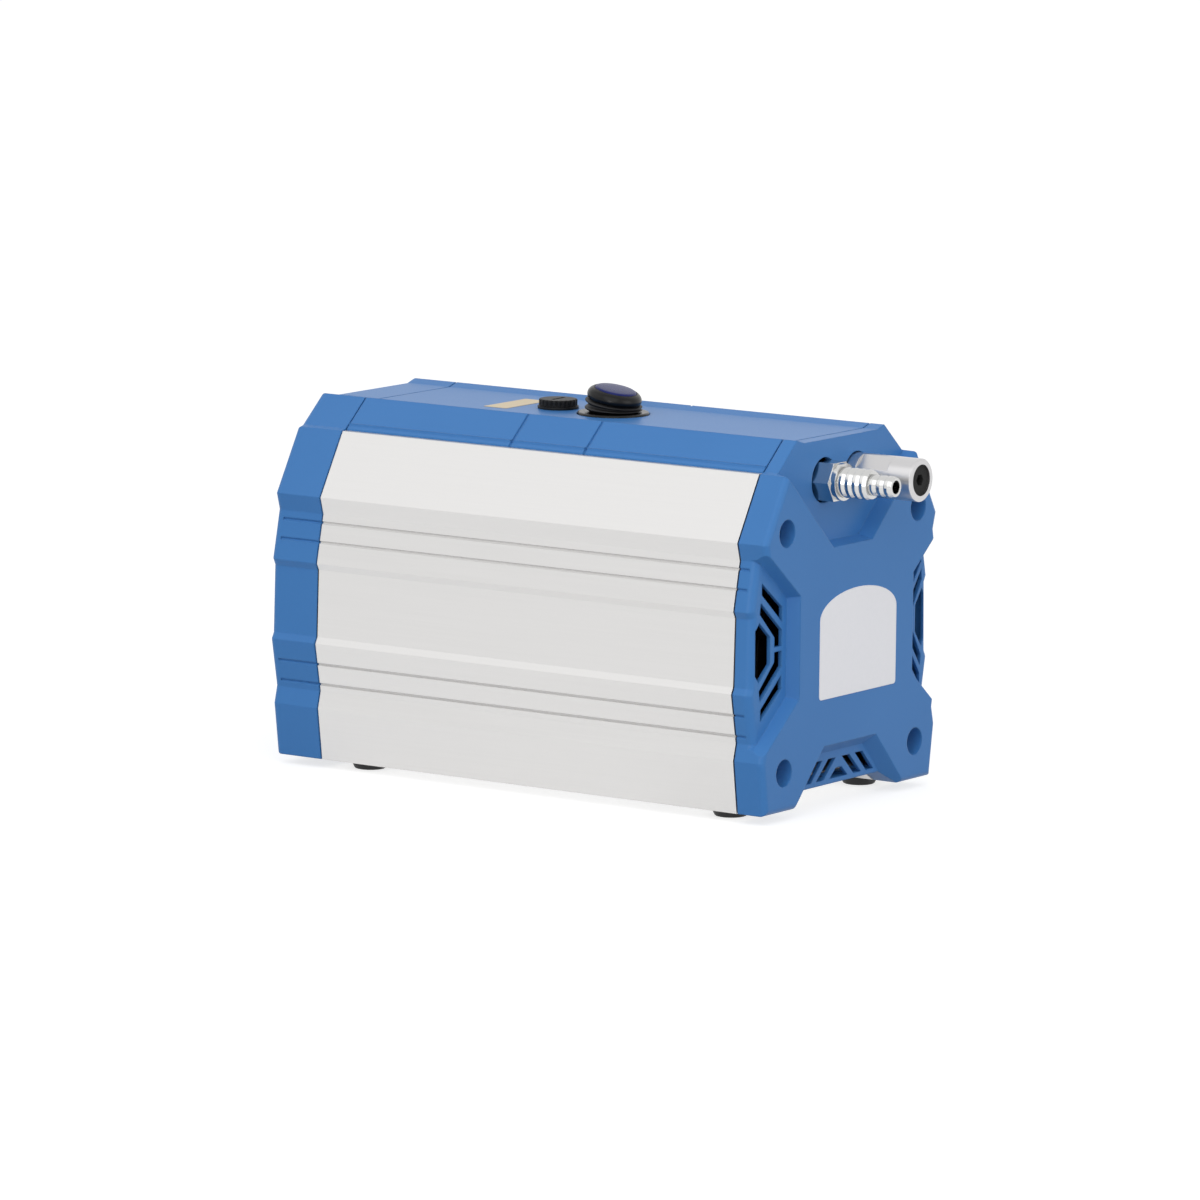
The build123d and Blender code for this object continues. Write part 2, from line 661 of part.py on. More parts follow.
def rear_cover():
    """Moulded rear: deep hollow cap with cooling slots and the mains inlet's cut-out."""
    cover = prism(body_outline(), REAR_SEAM, REAR_FACE)
    rim = cover.faces().sort_by(Axis.Y)[-1].edges()
    cover = fillet(rim, EDGE_ROUND)
    hollow = prism(cavity_outline(COVER_WALL), REAR_SEAM - 1, REAR_FACE - COVER_WALL)
    for x, z in SCREW_POINTS:
        hollow -= rod_y(BOSS_RADIUS, x, z, REAR_SEAM - 1, REAR_FACE)
    cover -= hollow
    for x, z in SCREW_POINTS:
        cover -= rod_y(ACCESS_DIAMETER / 2, x, z, REAR_SEAM + BOSS_FLOOR, REAR_FACE + 1)
        cover -= rod_y(SCREW_SHANK / 2 + FIT, x, z, REAR_SEAM - 1, REAR_FACE + 1)
    for number in range(REAR_SLOTS):
        z = FOOT_HEIGHT + REAR_GRILLE_FOOT + number * REAR_SLOT_PITCH
        slot = Pos(0, REAR_FACE, z) * Rot(90, 0, 0) * extrude(
            SlotOverall(2 * REAR_SLOT_HALF, REAR_SLOT_HEIGHT), COVER_WALL + 2, both=True
        )
        cover -= slot
    z = FOOT_HEIGHT + INLET_HEIGHT
    wide = INLET_WIDTH / 2 + FIT
    tall = INLET_TALL / 2 + FIT
    cover -= block(-wide, wide, REAR_FACE - COVER_WALL - 1, REAR_FACE + 1, z - tall, z + tall)
    for side in (-1, 1):
        x = side * INLET_SCREWS / 2
        cover -= rod_y(INLET_SCREW / 2, x, z, REAR_FACE - COVER_WALL - 1, REAR_FACE + 1)
        cover -= rod_y(INLET_SCREW_HEAD / 2, x, z, REAR_FACE - INLET_SINK, REAR_FACE + 1)
    return cover - groove_bars(REAR_SEAM - 1, REAR_FACE - EDGE_ROUND - 1)


# ---- roof panel ----
def roof_panel():
    """Moulded roof: ridged top, chamfers down to the extrusion's ledge, locating lips."""
    foot = (ROOF_EDGE[0], EDGE_POINT[1])
    outer = mirrored([foot, ROOF_EDGE, RIDGE_POINT, RIDGE_INNER])
    panel = prism(outer, ROOF_FRONT, ROOF_REAR)
    deep = [(ROOF_EDGE[0], EDGE_POINT[1] - 10), ROOF_EDGE, (RIDGE_POINT[0], ROOF_Z)]
    panel -= prism(inset(mirrored(deep), COVER_WALL), ROOF_FRONT - 1, ROOF_REAR + 1)
    outside = EDGE_POINT[0] - LEDGE_WIDTH - FIT
    lip = block(
        outside - LIP_WALL,
        outside,
        ROOF_FRONT + LIP_DROP,
        ROOF_REAR - LIP_DROP,
        EDGE_POINT[1] - LIP_DROP,
        EDGE_POINT[1] + COVER_WALL,
    )
    web = block(
        outside - LIP_WALL,
        ROOF_EDGE[0] - COVER_WALL / 2,
        ROOF_FRONT,
        ROOF_REAR,
        EDGE_POINT[1],
        EDGE_POINT[1] + COVER_WALL,
    )
    panel += both_sides(web + lip)
    panel -= rod_z(SWITCH_RECESS / 2, 0, SWITCH_Y, ROOF_Z - SWITCH_RECESS_DEPTH, TOP + 1)
    panel -= rod_z(SWITCH_HOLE / 2, 0, SWITCH_Y, ROOF_Z - 10, TOP + 1)
    panel -= rod_z(FUSE_HOLE / 2, 0, FUSE_Y, ROOF_Z - 10, TOP + 1)
    return panel - roof_grooves()


def roof_grooves():
    """Two shallow grooves across each chamfer."""
    cuts = Part()
    dx = ROOF_EDGE[0] - RIDGE_POINT[0]
    dz = RIDGE_POINT[1] - ROOF_EDGE[1]
    middle = Pos((ROOF_EDGE[0] + RIDGE_POINT[0]) / 2, 0, (ROOF_EDGE[1] + RIDGE_POINT[1]) / 2)
    tilt = math.degrees(math.atan2(dz, dx))
    for number in range(2):
        y = PROFILE_REAR - ROOF_GROOVE_BACK - number * ROOF_GROOVE_GAP
        bar = Box(math.hypot(dx, dz) + 4, 1.0, 2 * ROOF_GROOVE)
        cuts += Pos(0, y, 0) * middle * Rot(0, tilt, 0) * bar
    return both_sides(cuts)


# ---- switch and fuse on the roof ----
def switch_body():
    """Round snap-in switch: barrel below the roof and a flange in the recess."""
    body = rod_z(FLANGE_DIAMETER / 2, 0, SWITCH_Y, FLANGE_FOOT, FLANGE_FOOT + FLANGE_HEIGHT)
    rim = body.edges().filter_by(GeomType.CIRCLE).sort_by(Axis.Z)[-1:]
    body = fillet(rim, 0.8)
    body += rod_z(SWITCH_HOLE / 2 - FIT, 0, SWITCH_Y, FLANGE_FOOT - SWITCH_DEPTH, FLANGE_FOOT)
    for side in (-1, 1):
        x = side * 4.0
        foot = FLANGE_FOOT - SWITCH_DEPTH
        body += block(x - 0.4, x + 0.4, SWITCH_Y - 3.2, SWITCH_Y + 3.2, foot - TAG_LENGTH, foot)
    body -= rod_z(SWITCH_WELL, 0, SWITCH_Y, FLANGE_FOOT - 4, FLANGE_FOOT + FLANGE_HEIGHT + 1)
    for side in (-1, 1):
        x = side * (STEM_RADIUS + 1.4)
        cheek = block(x - 1, x + 1, SWITCH_Y - 2.4, SWITCH_Y + 2.4, FLANGE_FOOT - 4.5, PIVOT_Z + 1.6)
        bore = Pos(x, SWITCH_Y, PIVOT_Z) * Rot(0, 90, 0) * Cylinder(PIN_RADIUS + RUN_GAP, 4)
        body += cheek - bore
    return body


def switch_boot():
    """Rubber bellows between flange and button, its folds fanned open by the tilt."""
    foot = FLANGE_FOOT + FLANGE_HEIGHT
    rise = PIVOT_Z + BUTTON_FOOT * math.cos(math.radians(ROCKER_TILT)) - foot
    rings = []
    for station in range(2 * BOOT_FOLDS + 1):
        share = station / (2 * BOOT_FOLDS)
        radius = BOOT_RADIUS if station % 2 else BOOT_RADIUS - BOOT_FOLD_DEPTH
        lean = -BUTTON_FOOT * math.sin(math.radians(ROCKER_TILT)) * share
        place = Pos(0, SWITCH_Y + lean, foot + rise * share) * Rot(ROCKER_TILT * share, 0, 0)
        rings.append(place * Circle(radius))
    boot = loft(rings, ruled=True)
    return boot - rod_z(SWITCH_WELL, 0, SWITCH_Y, foot - 1, foot + 2 * rise)


def rocker_place():
    """The rocker's rest pose: pivot on the switch's axis, front edge down."""
    return Pos(0, SWITCH_Y, PIVOT_Z) * Rot(ROCKER_TILT, 0, 0)


def switch_rocker():
    """Round button with a rolled rim, on a stem with a cross pin."""
    top = ROCKER_HEIGHT
    radius = ROCKER_DIAMETER / 2
    points = [
        (0, BUTTON_FOOT),
        (radius - 0.8, BUTTON_FOOT),
        (radius, BUTTON_FOOT + 0.8),
        (radius, top - 2.0),
        (LENS_DIAMETER / 2 + 0.3, top),
        (LENS_DIAMETER / 2, top),
        (LENS_DIAMETER / 2, top - 0.8),
        (0, top - 0.8),
    ]
    button = revolve(Plane.XZ * make_face(Polyline(*points, close=True)), Axis.Z)
    stem = Rot(0, 90, 0) * Cylinder(STEM_RADIUS - 1.0, 2 * STEM_RADIUS + 0.4)
    stem += Pos(0, 0, BUTTON_FOOT / 2) * Box(2 * STEM_RADIUS - 0.4, 3.2, BUTTON_FOOT)
    pin = Rot(0, 90, 0) * Cylinder(PIN_RADIUS, 2 * STEM_RADIUS + 4.4)
    return rocker_place() * (button + stem + pin)


def switch_lens():
    """Dark blue lens in the top of the rocker, slightly domed."""
    base = ROCKER_HEIGHT - 0.8
    radius = LENS_DIAMETER / 2
    lens = Pos(0, 0, base + 0.5) * Cylinder(radius, 1.0)
    rim = lens.edges().filter_by(GeomType.CIRCLE).sort_by(Axis.Z)[-1:]
    return rocker_place() * fillet(rim, 0.6)


def fuse_body():
    """Panel-mounted fuse holder: flange, threaded barrel, solder tag at the foot."""
    body = rod_z(FUSE_FLANGE / 2, 0, FUSE_Y, ROOF_Z, ROOF_Z + FUSE_FLANGE_HEIGHT)
    body += rod_z(FUSE_HOLE / 2 - FIT, 0, FUSE_Y, ROOF_Z - FUSE_DEPTH, ROOF_Z)
    body -= rod_z(FUSE_TUBE + RUN_GAP, 0, FUSE_Y, ROOF_Z - FUSE_DEPTH + 2, TOP + 5)
    body += block(-2, 2, FUSE_Y - 0.4, FUSE_Y + 0.4, ROOF_Z - FUSE_DEPTH - 7, ROOF_Z - FUSE_DEPTH)
    return body


def fuse_nut():
    """Hexagon nut that clamps the holder from below the roof."""
    top = ROOF_Z - COVER_WALL
    nut = Pos(0, FUSE_Y, top - 4) * extrude(RegularPolygon(9.0, 6), 4)
    return nut - rod_z(FUSE_HOLE / 2 - FIT, 0, FUSE_Y, top - 5, top + 1)


def fuse_cap():
    """Fluted bayonet cap with a coin slot."""
    foot = ROOF_Z + FUSE_FLANGE_HEIGHT
    cap = rod_z(FUSE_CAP_RADIUS, 0, FUSE_Y, foot, foot + FUSE_CAP_HEIGHT)
    rim = cap.edges().filter_by(GeomType.CIRCLE).sort_by(Axis.Z)[-1:]
    cap = fillet(rim, 0.5)
    for number in range(FUSE_FLUTES):
        angle = math.radians(number * 360 / FUSE_FLUTES)
        x = FUSE_CAP_RADIUS * math.cos(angle)
        y = FUSE_Y + FUSE_CAP_RADIUS * math.sin(angle)
        cap -= rod_z(0.45, x, y, foot + 0.4, foot + FUSE_CAP_HEIGHT + 1)
    slot = Box(8.0, 1.4, 2.0)
    return cap - Pos(0, FUSE_Y, foot + FUSE_CAP_HEIGHT) * slot


def fuse_carrier():
    """Tube under the cap that grips the fuse."""
    top = ROOF_Z + FUSE_FLANGE_HEIGHT
    tube = rod_z(FUSE_TUBE, 0, FUSE_Y, top - 8, top)
    return tube - rod_z(FUSE_GLASS_RADIUS, 0, FUSE_Y, top - 9, top - 2)


def glass_fuse():
    """Glass cartridge fuse in the carrier."""
    top = ROOF_Z + FUSE_FLANGE_HEIGHT - 2
    return rod_z(FUSE_GLASS_RADIUS, 0, FUSE_Y, top - FUSE_GLASS_LENGTH, top)


# ---- gas ports ----
def barbs(crest, root, length, count, start):
    """Outline of a barbed hose stem as (radius, distance out), from its foot outwards."""
    pitch = length / count
    points = []
    for number in range(count):
        foot = start + number * pitch
        points += [
            (root / 2, foot),
            (crest / 2, foot + 0.15 * pitch),
            (crest / 2, foot + 0.15 * pitch + BARB_LAND),
        ]
    return points + [(root / 2, start + length)]


def turned_y(points, x, z, origin):
    """A solid turned about the port's axis from (radius, distance towards the front) points."""
    face = Plane.XY * make_face(Polyline(*points, close=True))
    return Pos(x, origin, z) * Rot(180, 0, 0) * revolve(face, Axis.Y)


def inlet_nozzle():
    """Stepped hose nozzle for two hose sizes, with a hexagon foot and a threaded end."""
    collar = HEX_REACH + COLLAR_LENGTH
    large_end = collar + HOSE_LARGE_LENGTH
    small_length = NOZZLE_REACH - large_end
    points = [(0, HEX_REACH), (COLLAR_DIAMETER / 2, HEX_REACH), (COLLAR_DIAMETER / 2, collar)]
    points += barbs(HOSE_LARGE, HOSE_LARGE_ROOT, HOSE_LARGE_LENGTH, BARB_COUNT_LARGE, collar)
    points += barbs(HOSE_SMALL, HOSE_SMALL_ROOT, small_length, BARB_COUNT_SMALL, large_end)
    points += [(0, NOZZLE_REACH)]
    nozzle = turned_y(points, -PORT_X, PORT_Z, PORT_PLANE)
    foot_depth = HEAD_FRONT - PORT_PLANE
    hexagon = extrude(RegularPolygon(HEX_ACROSS / math.sqrt(3), 6), foot_depth + HEX_REACH)
    nozzle += Pos(-PORT_X, HEAD_FRONT, PORT_Z) * Rot(90, 0, 0) * hexagon
    nozzle += rod_y(PORT_THREAD / 2, -PORT_X, PORT_Z, HEAD_FRONT, HEAD_FRONT + THREAD_LENGTH)
    end = PORT_PLANE - NOZZLE_REACH - 1
    return nozzle - rod_y(NOZZLE_BORE / 2, -PORT_X, PORT_Z, end, HEAD_FRONT + THREAD_LENGTH + 1)


def silencer_body():
    """Turned silencer tube with two spanner flats and a threaded end."""
    front = PORT_PLANE - SILENCER_REACH
    radius = SILENCER_DIAMETER / 2
    body = rod_y(radius, PORT_X, PORT_Z, front, HEAD_FRONT)
    rim = body.edges().filter_by(GeomType.CIRCLE).sort_by(Axis.Y)[:1]
    body = chamfer(rim, 0.5)
    for side in (-1, 1):
        flat = Box(2 * SILENCER_FLAT, FLAT_LENGTH, 2 * radius)
        turn = Pos(PORT_X, front + FLAT_SETBACK + FLAT_LENGTH / 2, PORT_Z) * Rot(0, FLAT_TURN, 0)
        body -= turn * Pos(side * radius, 0, 0) * flat
    body += rod_y(PORT_THREAD / 2, PORT_X, PORT_Z, HEAD_FRONT, HEAD_FRONT + THREAD_LENGTH)
    body -= rod_y(SILENCER_BORE / 2, PORT_X, PORT_Z, front - 1, HEAD_FRONT - 3)
    return body - rod_y(NOZZLE_BORE / 2, PORT_X, PORT_Z, front, HEAD_FRONT + THREAD_LENGTH + 1)


def silencer_insert():
    """Black sound-absorbing core of the silencer."""
    front = PORT_PLANE - SILENCER_REACH + SILENCER_SINK
    core = rod_y(SILENCER_BORE / 2, PORT_X, PORT_Z, front, HEAD_FRONT - 3)
    mouth = extrude(RegularPolygon(SILENCER_MOUTH / math.sqrt(3), 6), 24)
    return core - Pos(PORT_X, front + 23, PORT_Z) * Rot(90, 0, 0) * mouth


def port_seals():
    """Two sealing rings between the head and the ports."""
    seals = Part()
    for side in (-1, 1):
        ring = rod_y(PORT_SEAL / 2, side * PORT_X, PORT_Z, HEAD_FRONT, HEAD_FRONT + SEAL_DEPTH)
        ring -= rod_y(PORT_THREAD / 2, side * PORT_X, PORT_Z, HEAD_FRONT - 1, HEAD_FRONT + 5)
        seals += ring
    return seals


# ---- pump head ----
def head_block(low, high):
    """Plan outline of the head between two heights."""
    body = block(
        -CASE_WIDTH / 2,
        CASE_WIDTH / 2,
        CRANK_Y - CASE_DEPTH / 2,
        CRANK_Y + CASE_DEPTH / 2,
        low,
        high,
    )
    return fillet(body.edges().filter_by(Axis.Z), HEAD_ROUND)


def head_screw_places():
    """Centres of the four head screws."""
    return [
        (sx * HEAD_SCREW_X, CRANK_Y + sy * HEAD_SCREW_Y) for sx in (-1, 1) for sy in (-1, 1)
    ]


def head_cover():
    """Upper part of the head with the inlet and outlet passages and cooling ribs."""
    cover = head_block(PLATE_TOP, HEAD_TOP)
    for number in range(HEAD_RIB_COUNT):
        y = CRANK_Y - CASE_DEPTH / 2 + 10 + number * HEAD_RIB_PITCH
        cover -= block(-16, 16, y, y + HEAD_RIB_GAP, HEAD_TOP - 3, HEAD_TOP + 1)
    for side in (-1, 1):
        x = side * PORT_X
        bore_rear = HEAD_FRONT + THREAD_LENGTH
        cover -= rod_y(PORT_THREAD / 2, x, PORT_Z, HEAD_FRONT - 1, bore_rear)
        cover -= rod_y(PORT_SEAL / 2, x, PORT_Z, HEAD_FRONT - 1, HEAD_FRONT + SEAL_DEPTH)
        cover -= rod_y(PASSAGE_RADIUS, x, PORT_Z, HEAD_FRONT, CRANK_Y)
        cover -= rod_z(PASSAGE_RADIUS + 0.3, x, CRANK_Y, PLATE_TOP - 1, PORT_Z + 1)
        cover -= rod_z(VALVE_RADIUS, x, CRANK_Y, PLATE_TOP - 1, PLATE_TOP + VALVE_GAP)
    for x, y in head_screw_places():
        cover -= rod_z(HEAD_SCREW / 2, x, y, PLATE_TOP - 1, HEAD_TOP + 1)
        cover -= rod_z(HEAD_SCREW, x, y, HEAD_TOP - 5, HEAD_TOP + 1)
    return cover


def valve_plate():
    """Lower part of the head: the pumping chamber below and the valve seats above."""
    plate = head_block(HEAD_BOTTOM, PLATE_TOP)
    dome = Pos(0, CRANK_Y, HEAD_BOTTOM) * Cone(
        CHAMBER_RADIUS, CLAMP_RADIUS + 4, CHAMBER_RISE, align=(Align.CENTER, Align.CENTER, Align.MIN)
    )
    plate -= dome
    for side in (-1, 1):
        plate -= rod_z(VALVE_HOLE, side * VALVE_OFFSET, CRANK_Y, HEAD_BOTTOM, PLATE_TOP + 1)
    for x, y in head_screw_places():
        plate -= rod_z(HEAD_SCREW / 2, x, y, HEAD_BOTTOM - 1, PLATE_TOP + 1)
    return plate


def valve_discs():
    """Two rubber flap discs in their pockets between plate and cover."""
    discs = Part()
    for side in (-1, 1):
        discs += rod_z(VALVE_RADIUS, side * PORT_X, CRANK_Y, PLATE_TOP, PLATE_TOP + VALVE_GAP)
    return discs


def diaphragm():
    """Moulded membrane: clamped rim, sloping web, centre raised to the top of the stroke."""
    low = CASE_TOP
    high = CASE_TOP + DIAPHRAGM_THICKNESS
    web = DIAPHRAGM_THICKNESS * 0.8
    top = low + ECCENTRICITY
    points = [
        (DIAPHRAGM_HOLE, top),
        (CLAMP_RADIUS, top),
        (CHAMBER_RADIUS, low),
        (DIAPHRAGM_RADIUS, low),
        (DIAPHRAGM_RADIUS, high),
        (CHAMBER_RADIUS - 1.0, high),
        (CLAMP_RADIUS, top + web),
        (DIAPHRAGM_HOLE, top + web),
    ]
    face = Plane.XZ * make_face(Polyline(*points, close=True))
    return Pos(0, CRANK_Y, 0) * revolve(face, Axis.Z)


def clamping_disc():
    """Disc on top of the membrane with its countersunk screw."""
    foot = CASE_TOP + ECCENTRICITY + DIAPHRAGM_THICKNESS * 0.8
    disc = rod_z(CLAMP_RADIUS - 1, 0, CRANK_Y, foot, foot + CLAMP_THICKNESS)
    rim = disc.edges().filter_by(GeomType.CIRCLE).sort_by(Axis.Z)[-1:]
    disc = chamfer(rim, 0.8)
    screw = rod_z(DIAPHRAGM_HOLE, 0, CRANK_Y, CASE_TOP + ECCENTRICITY, foot)
    return disc + screw


def con_rod():
    """Connecting rod: big end round the bearing, tapered shank, support disc on top."""
    centre = AXIS_HEIGHT + ECCENTRICITY
    half = ROD_WIDTH / 2
    big = ROD_BEARING_OUTER / 2 + ROD_RIM
    top = CASE_TOP + ECCENTRICITY
    rod = rod_y(big, 0, centre, CRANK_Y - half, CRANK_Y + half)
    shank = [(-8, centre), (8, centre), (6, top - SUPPORT_THICKNESS), (-6, top - SUPPORT_THICKNESS)]
    rod += prism(shank, CRANK_Y - half, CRANK_Y + half)
    rod += rod_z(CLAMP_RADIUS - 1, 0, CRANK_Y, top - SUPPORT_THICKNESS, top)
    bearing = ROD_BEARING_OUTER / 2
    return rod - rod_y(bearing, 0, centre, CRANK_Y - half - 1, CRANK_Y + half + 1)


def ring_bearing(inner, outer, width, z, front):
    """A sealed ball bearing drawn as one ring with shallow shield grooves."""
    ring = rod_y(outer, 0, z, front, front + width) - rod_y(inner, 0, z, front - 1, front + width + 1)
    middle = (inner + outer) / 2
    span = (outer - inner) * 0.2
    for start in (front - 1, front + width - 0.4):
        groove = rod_y(middle + span, 0, z, start, start + 1.4)
        ring -= groove - rod_y(middle - span, 0, z, start - 1, start + 2.4)
    return ring


def rod_bearing():
    """Bearing pressed into the rod's big end."""
    return ring_bearing(
        ECCENTRIC_RADIUS + RUN_GAP,
        ROD_BEARING_OUTER / 2,
        ROD_WIDTH,
        AXIS_HEIGHT + ECCENTRICITY,
        CRANK_Y - ROD_WIDTH / 2,
    )


# ---- crankcase and shaft ----
def crankcase():
    """Die-cast case: crank chamber, membrane seat, bearing seat and the motor's pilot ring."""
    half = CASE_WIDTH / 2
    case = block(-half, half, CASE_FRONT, CASE_REAR, CRADLE_TOP, CASE_TOP)
    case = fillet(case.edges().filter_by(Axis.Z), 4.0)
    foot = AXIS_HEIGHT - CHAMBER_HALF
    front = CASE_FRONT - 1
    rear = CRANK_Y + CHAMBER_DEPTH / 2
    case -= block(-CHAMBER_HALF, CHAMBER_HALF, front, rear, foot, CASE_TOP - CASE_CAP)
    case -= rod_z(CHAMBER_RADIUS, 0, CRANK_Y, CASE_TOP - CASE_CAP - 1, CASE_TOP + 1)
    case += rod_y(PILOT_RADIUS, 0, AXIS_HEIGHT, CASE_REAR, STATOR_FRONT)
    case -= rod_y(PILOT_BORE, 0, AXIS_HEIGHT, CASE_REAR + 2, STATOR_FRONT + 1)
    seat = CASE_REAR - BEARING_WIDTH
    case -= rod_y(BEARING_OUTER / 2, 0, AXIS_HEIGHT, seat, CASE_REAR + 3)
    case -= rod_y(SHAFT_DIAMETER / 2 + 2, 0, AXIS_HEIGHT, rear - 1, CASE_REAR)
    for x, z in tie_places():
        case -= rod_y(TIE_RADIUS, x, z, CASE_REAR - TIE_GRIP, CASE_REAR + 1)
    for x, y in head_screw_places():
        case -= rod_z(HEAD_SCREW / 2, x, y, CASE_TOP - HEAD_GRIP, CASE_TOP + 1)
    for x, z in lid_places():
        case -= rod_y(LID_SCREW / 2, x, z, CASE_FRONT - 1, CASE_FRONT + LID_GRIP)
    return case


def lid_places():
    """Centres of the crankcase lid's screws."""
    heights = (CRADLE_TOP + 5, CASE_TOP - 12)
    return [(side * LID_X, z) for side in (-1, 1) for z in heights]


def crankcase_lid():
    """Plate that closes the front of the crank chamber round the shaft."""
    half = CASE_WIDTH / 2
    lid = block(-half, half, CASE_FRONT - LID_THICKNESS, CASE_FRONT, CRADLE_TOP, CASE_TOP)
    lid = fillet(lid.edges().filter_by(Axis.Y), 4.0)
    reach = (CASE_FRONT - LID_THICKNESS - 1, CASE_FRONT + 1)
    lid -= rod_y(SHAFT_DIAMETER / 2 + 1.5, 0, AXIS_HEIGHT, *reach)
    for x, z in lid_places():
        lid -= rod_y(LID_SCREW / 2, x, z, *reach)
    return lid


def lid_screws():
    """Four screws of the crankcase lid."""
    seat = CASE_FRONT - LID_THICKNESS
    screws = Part()
    for x, z in lid_places():
        screws += rod_y(LID_SCREW, x, z, seat - 2.0, seat)
        screws += rod_y(LID_SCREW / 2, x, z, seat, CASE_FRONT + LID_GRIP)
    return screws


def head_screws():
    """Four screws that clamp cover, valve plate and membrane rim to the crankcase."""
    screws = Part()
    for x, y in head_screw_places():
        screws += rod_z(HEAD_SCREW - FIT, x, y, HEAD_TOP - 5, HEAD_TOP - 1)
        screws += rod_z(HEAD_SCREW / 2, x, y, CASE_TOP - HEAD_GRIP, HEAD_TOP - 5)
    return screws


def tie_places():
    """Centres of the motor's four tie bolts."""
    half = TIE_SPACING / 2
    return [(sx * half, AXIS_HEIGHT + sz * half) for sx in (-1, 1) for sz in (-1, 1)]


def tie_bolts():
    """Four long bolts from the rear shield into the crankcase."""
    bolts = Part()
    for x, z in tie_places():
        bolts += rod_y(TIE_RADIUS, x, z, CASE_REAR - TIE_GRIP, SHIELD_REAR)
        bolts += rod_y(TIE_RADIUS * 1.9, x, z, SHIELD_REAR, SHIELD_REAR + 3)
    return bolts


def front_bearing():
    """Shaft bearing in the crankcase's rear wall."""
    inner = SHAFT_DIAMETER / 2 + RUN_GAP
    front = CASE_REAR - BEARING_WIDTH
    return ring_bearing(inner, BEARING_OUTER / 2, BEARING_WIDTH, AXIS_HEIGHT, front)


def rear_bearing():
    """Shaft bearing in the rear shield."""
    inner = SHAFT_DIAMETER / 2 + RUN_GAP
    return ring_bearing(inner, BEARING_OUTER / 2, BEARING_WIDTH, AXIS_HEIGHT, SHIELD_FRONT + 2)


def motor_shaft():
    """Through shaft from the fan to the rear bearing."""
    return rod_y(SHAFT_DIAMETER / 2, 0, AXIS_HEIGHT, FAN_FRONT, SHIELD_FRONT + 2 + BEARING_WIDTH)


def eccentric():
    """Eccentric for the rod with a counterweight opposite the throw."""
    half = ROD_WIDTH / 2
    rear = CRANK_Y + half + COUNTER_GAP
    disc = rod_y(ECCENTRIC_RADIUS, 0, AXIS_HEIGHT + ECCENTRICITY, CRANK_Y - half, rear)
    weight = rod_y(COUNTER_RADIUS, 0, AXIS_HEIGHT, rear, rear + COUNTER_WIDTH)
    cut = AXIS_HEIGHT + 5
    weight -= block(-30, 30, rear - 1, rear + COUNTER_WIDTH + 1, cut, AXIS_HEIGHT + 40)
    bore = rod_y(SHAFT_DIAMETER / 2, 0, AXIS_HEIGHT, CRANK_Y - 30, CRANK_Y + 30)
    return disc + weight - bore


def fan_wheel():
    """Cooling fan at the front of the shaft, behind the air slots."""
    radius = FAN_DIAMETER / 2
    hub = rod_y(FAN_HUB / 2, 0, AXIS_HEIGHT, FAN_FRONT, FAN_REAR)
    fan = hub + rod_y(radius - 4, 0, AXIS_HEIGHT, FAN_REAR - 1.4, FAN_REAR)
    reach = radius - FAN_HUB / 2 + 2
    for number in range(FAN_BLADES):
        blade = Pos(FAN_HUB / 2 - 2 + reach / 2, 0, 0) * Rot(14, 0, 0) * Box(reach, FAN_WIDTH - 1.0, 1.6)
        middle = (FAN_FRONT + FAN_REAR) / 2
        fan += Pos(0, middle, AXIS_HEIGHT) * Rot(0, number * 360 / FAN_BLADES, 0) * blade
    return fan - rod_y(SHAFT_DIAMETER / 2, 0, AXIS_HEIGHT, FAN_FRONT - 1, FAN_REAR + 1)


# ---- motor ----
def stator_core():
    """Laminated ring between the two pilots, with a slotted bore."""
    core = rod_y(STATOR_DIAMETER / 2, 0, AXIS_HEIGHT, STATOR_FRONT, STATOR_REAR)
    core -= rod_y(STATOR_BORE / 2, 0, AXIS_HEIGHT, STATOR_FRONT - 1, STATOR_REAR + 1)
    for number in range(STATOR_SLOTS):
        place = Pos(0, 0, AXIS_HEIGHT) * Rot(0, number * 360 / STATOR_SLOTS, 0)
        depth = WINDING_DIAMETER / 2 - STATOR_BORE / 2 - 1
        slot = Box(depth + 4, STATOR_LENGTH + 2, 3.4)
        x = STATOR_BORE / 2 + depth / 2 - 2
        y = (STATOR_FRONT + STATOR_REAR) / 2
        core -= Pos(0, y, 0) * place * Pos(x, 0, 0) * slot
    return core


def windings():
    """Copper end turns on both faces of the core."""
    coils = Part()
    for front in (STATOR_FRONT - WINDING_LENGTH, STATOR_REAR):
        ring = rod_y(WINDING_DIAMETER / 2, 0, AXIS_HEIGHT, front, front + WINDING_LENGTH)
        ring = fillet(ring.edges().filter_by(GeomType.CIRCLE), 3.0)
        coils += ring - rod_y(STATOR_BORE / 2 + 1, 0, AXIS_HEIGHT, front - 1, front + 20)
    return coils


def rotor_core():
    """Squirrel-cage rotor on the shaft."""
    radius = STATOR_BORE / 2 - AIR_GAP
    core = rod_y(radius, 0, AXIS_HEIGHT, STATOR_FRONT, STATOR_REAR)
    for front in (STATOR_FRONT - 4, STATOR_REAR):
        core += rod_y(radius - 1.5, 0, AXIS_HEIGHT, front, front + 4)
    return core - rod_y(SHAFT_DIAMETER / 2, 0, AXIS_HEIGHT, STATOR_FRONT - 9, STATOR_REAR + 9)


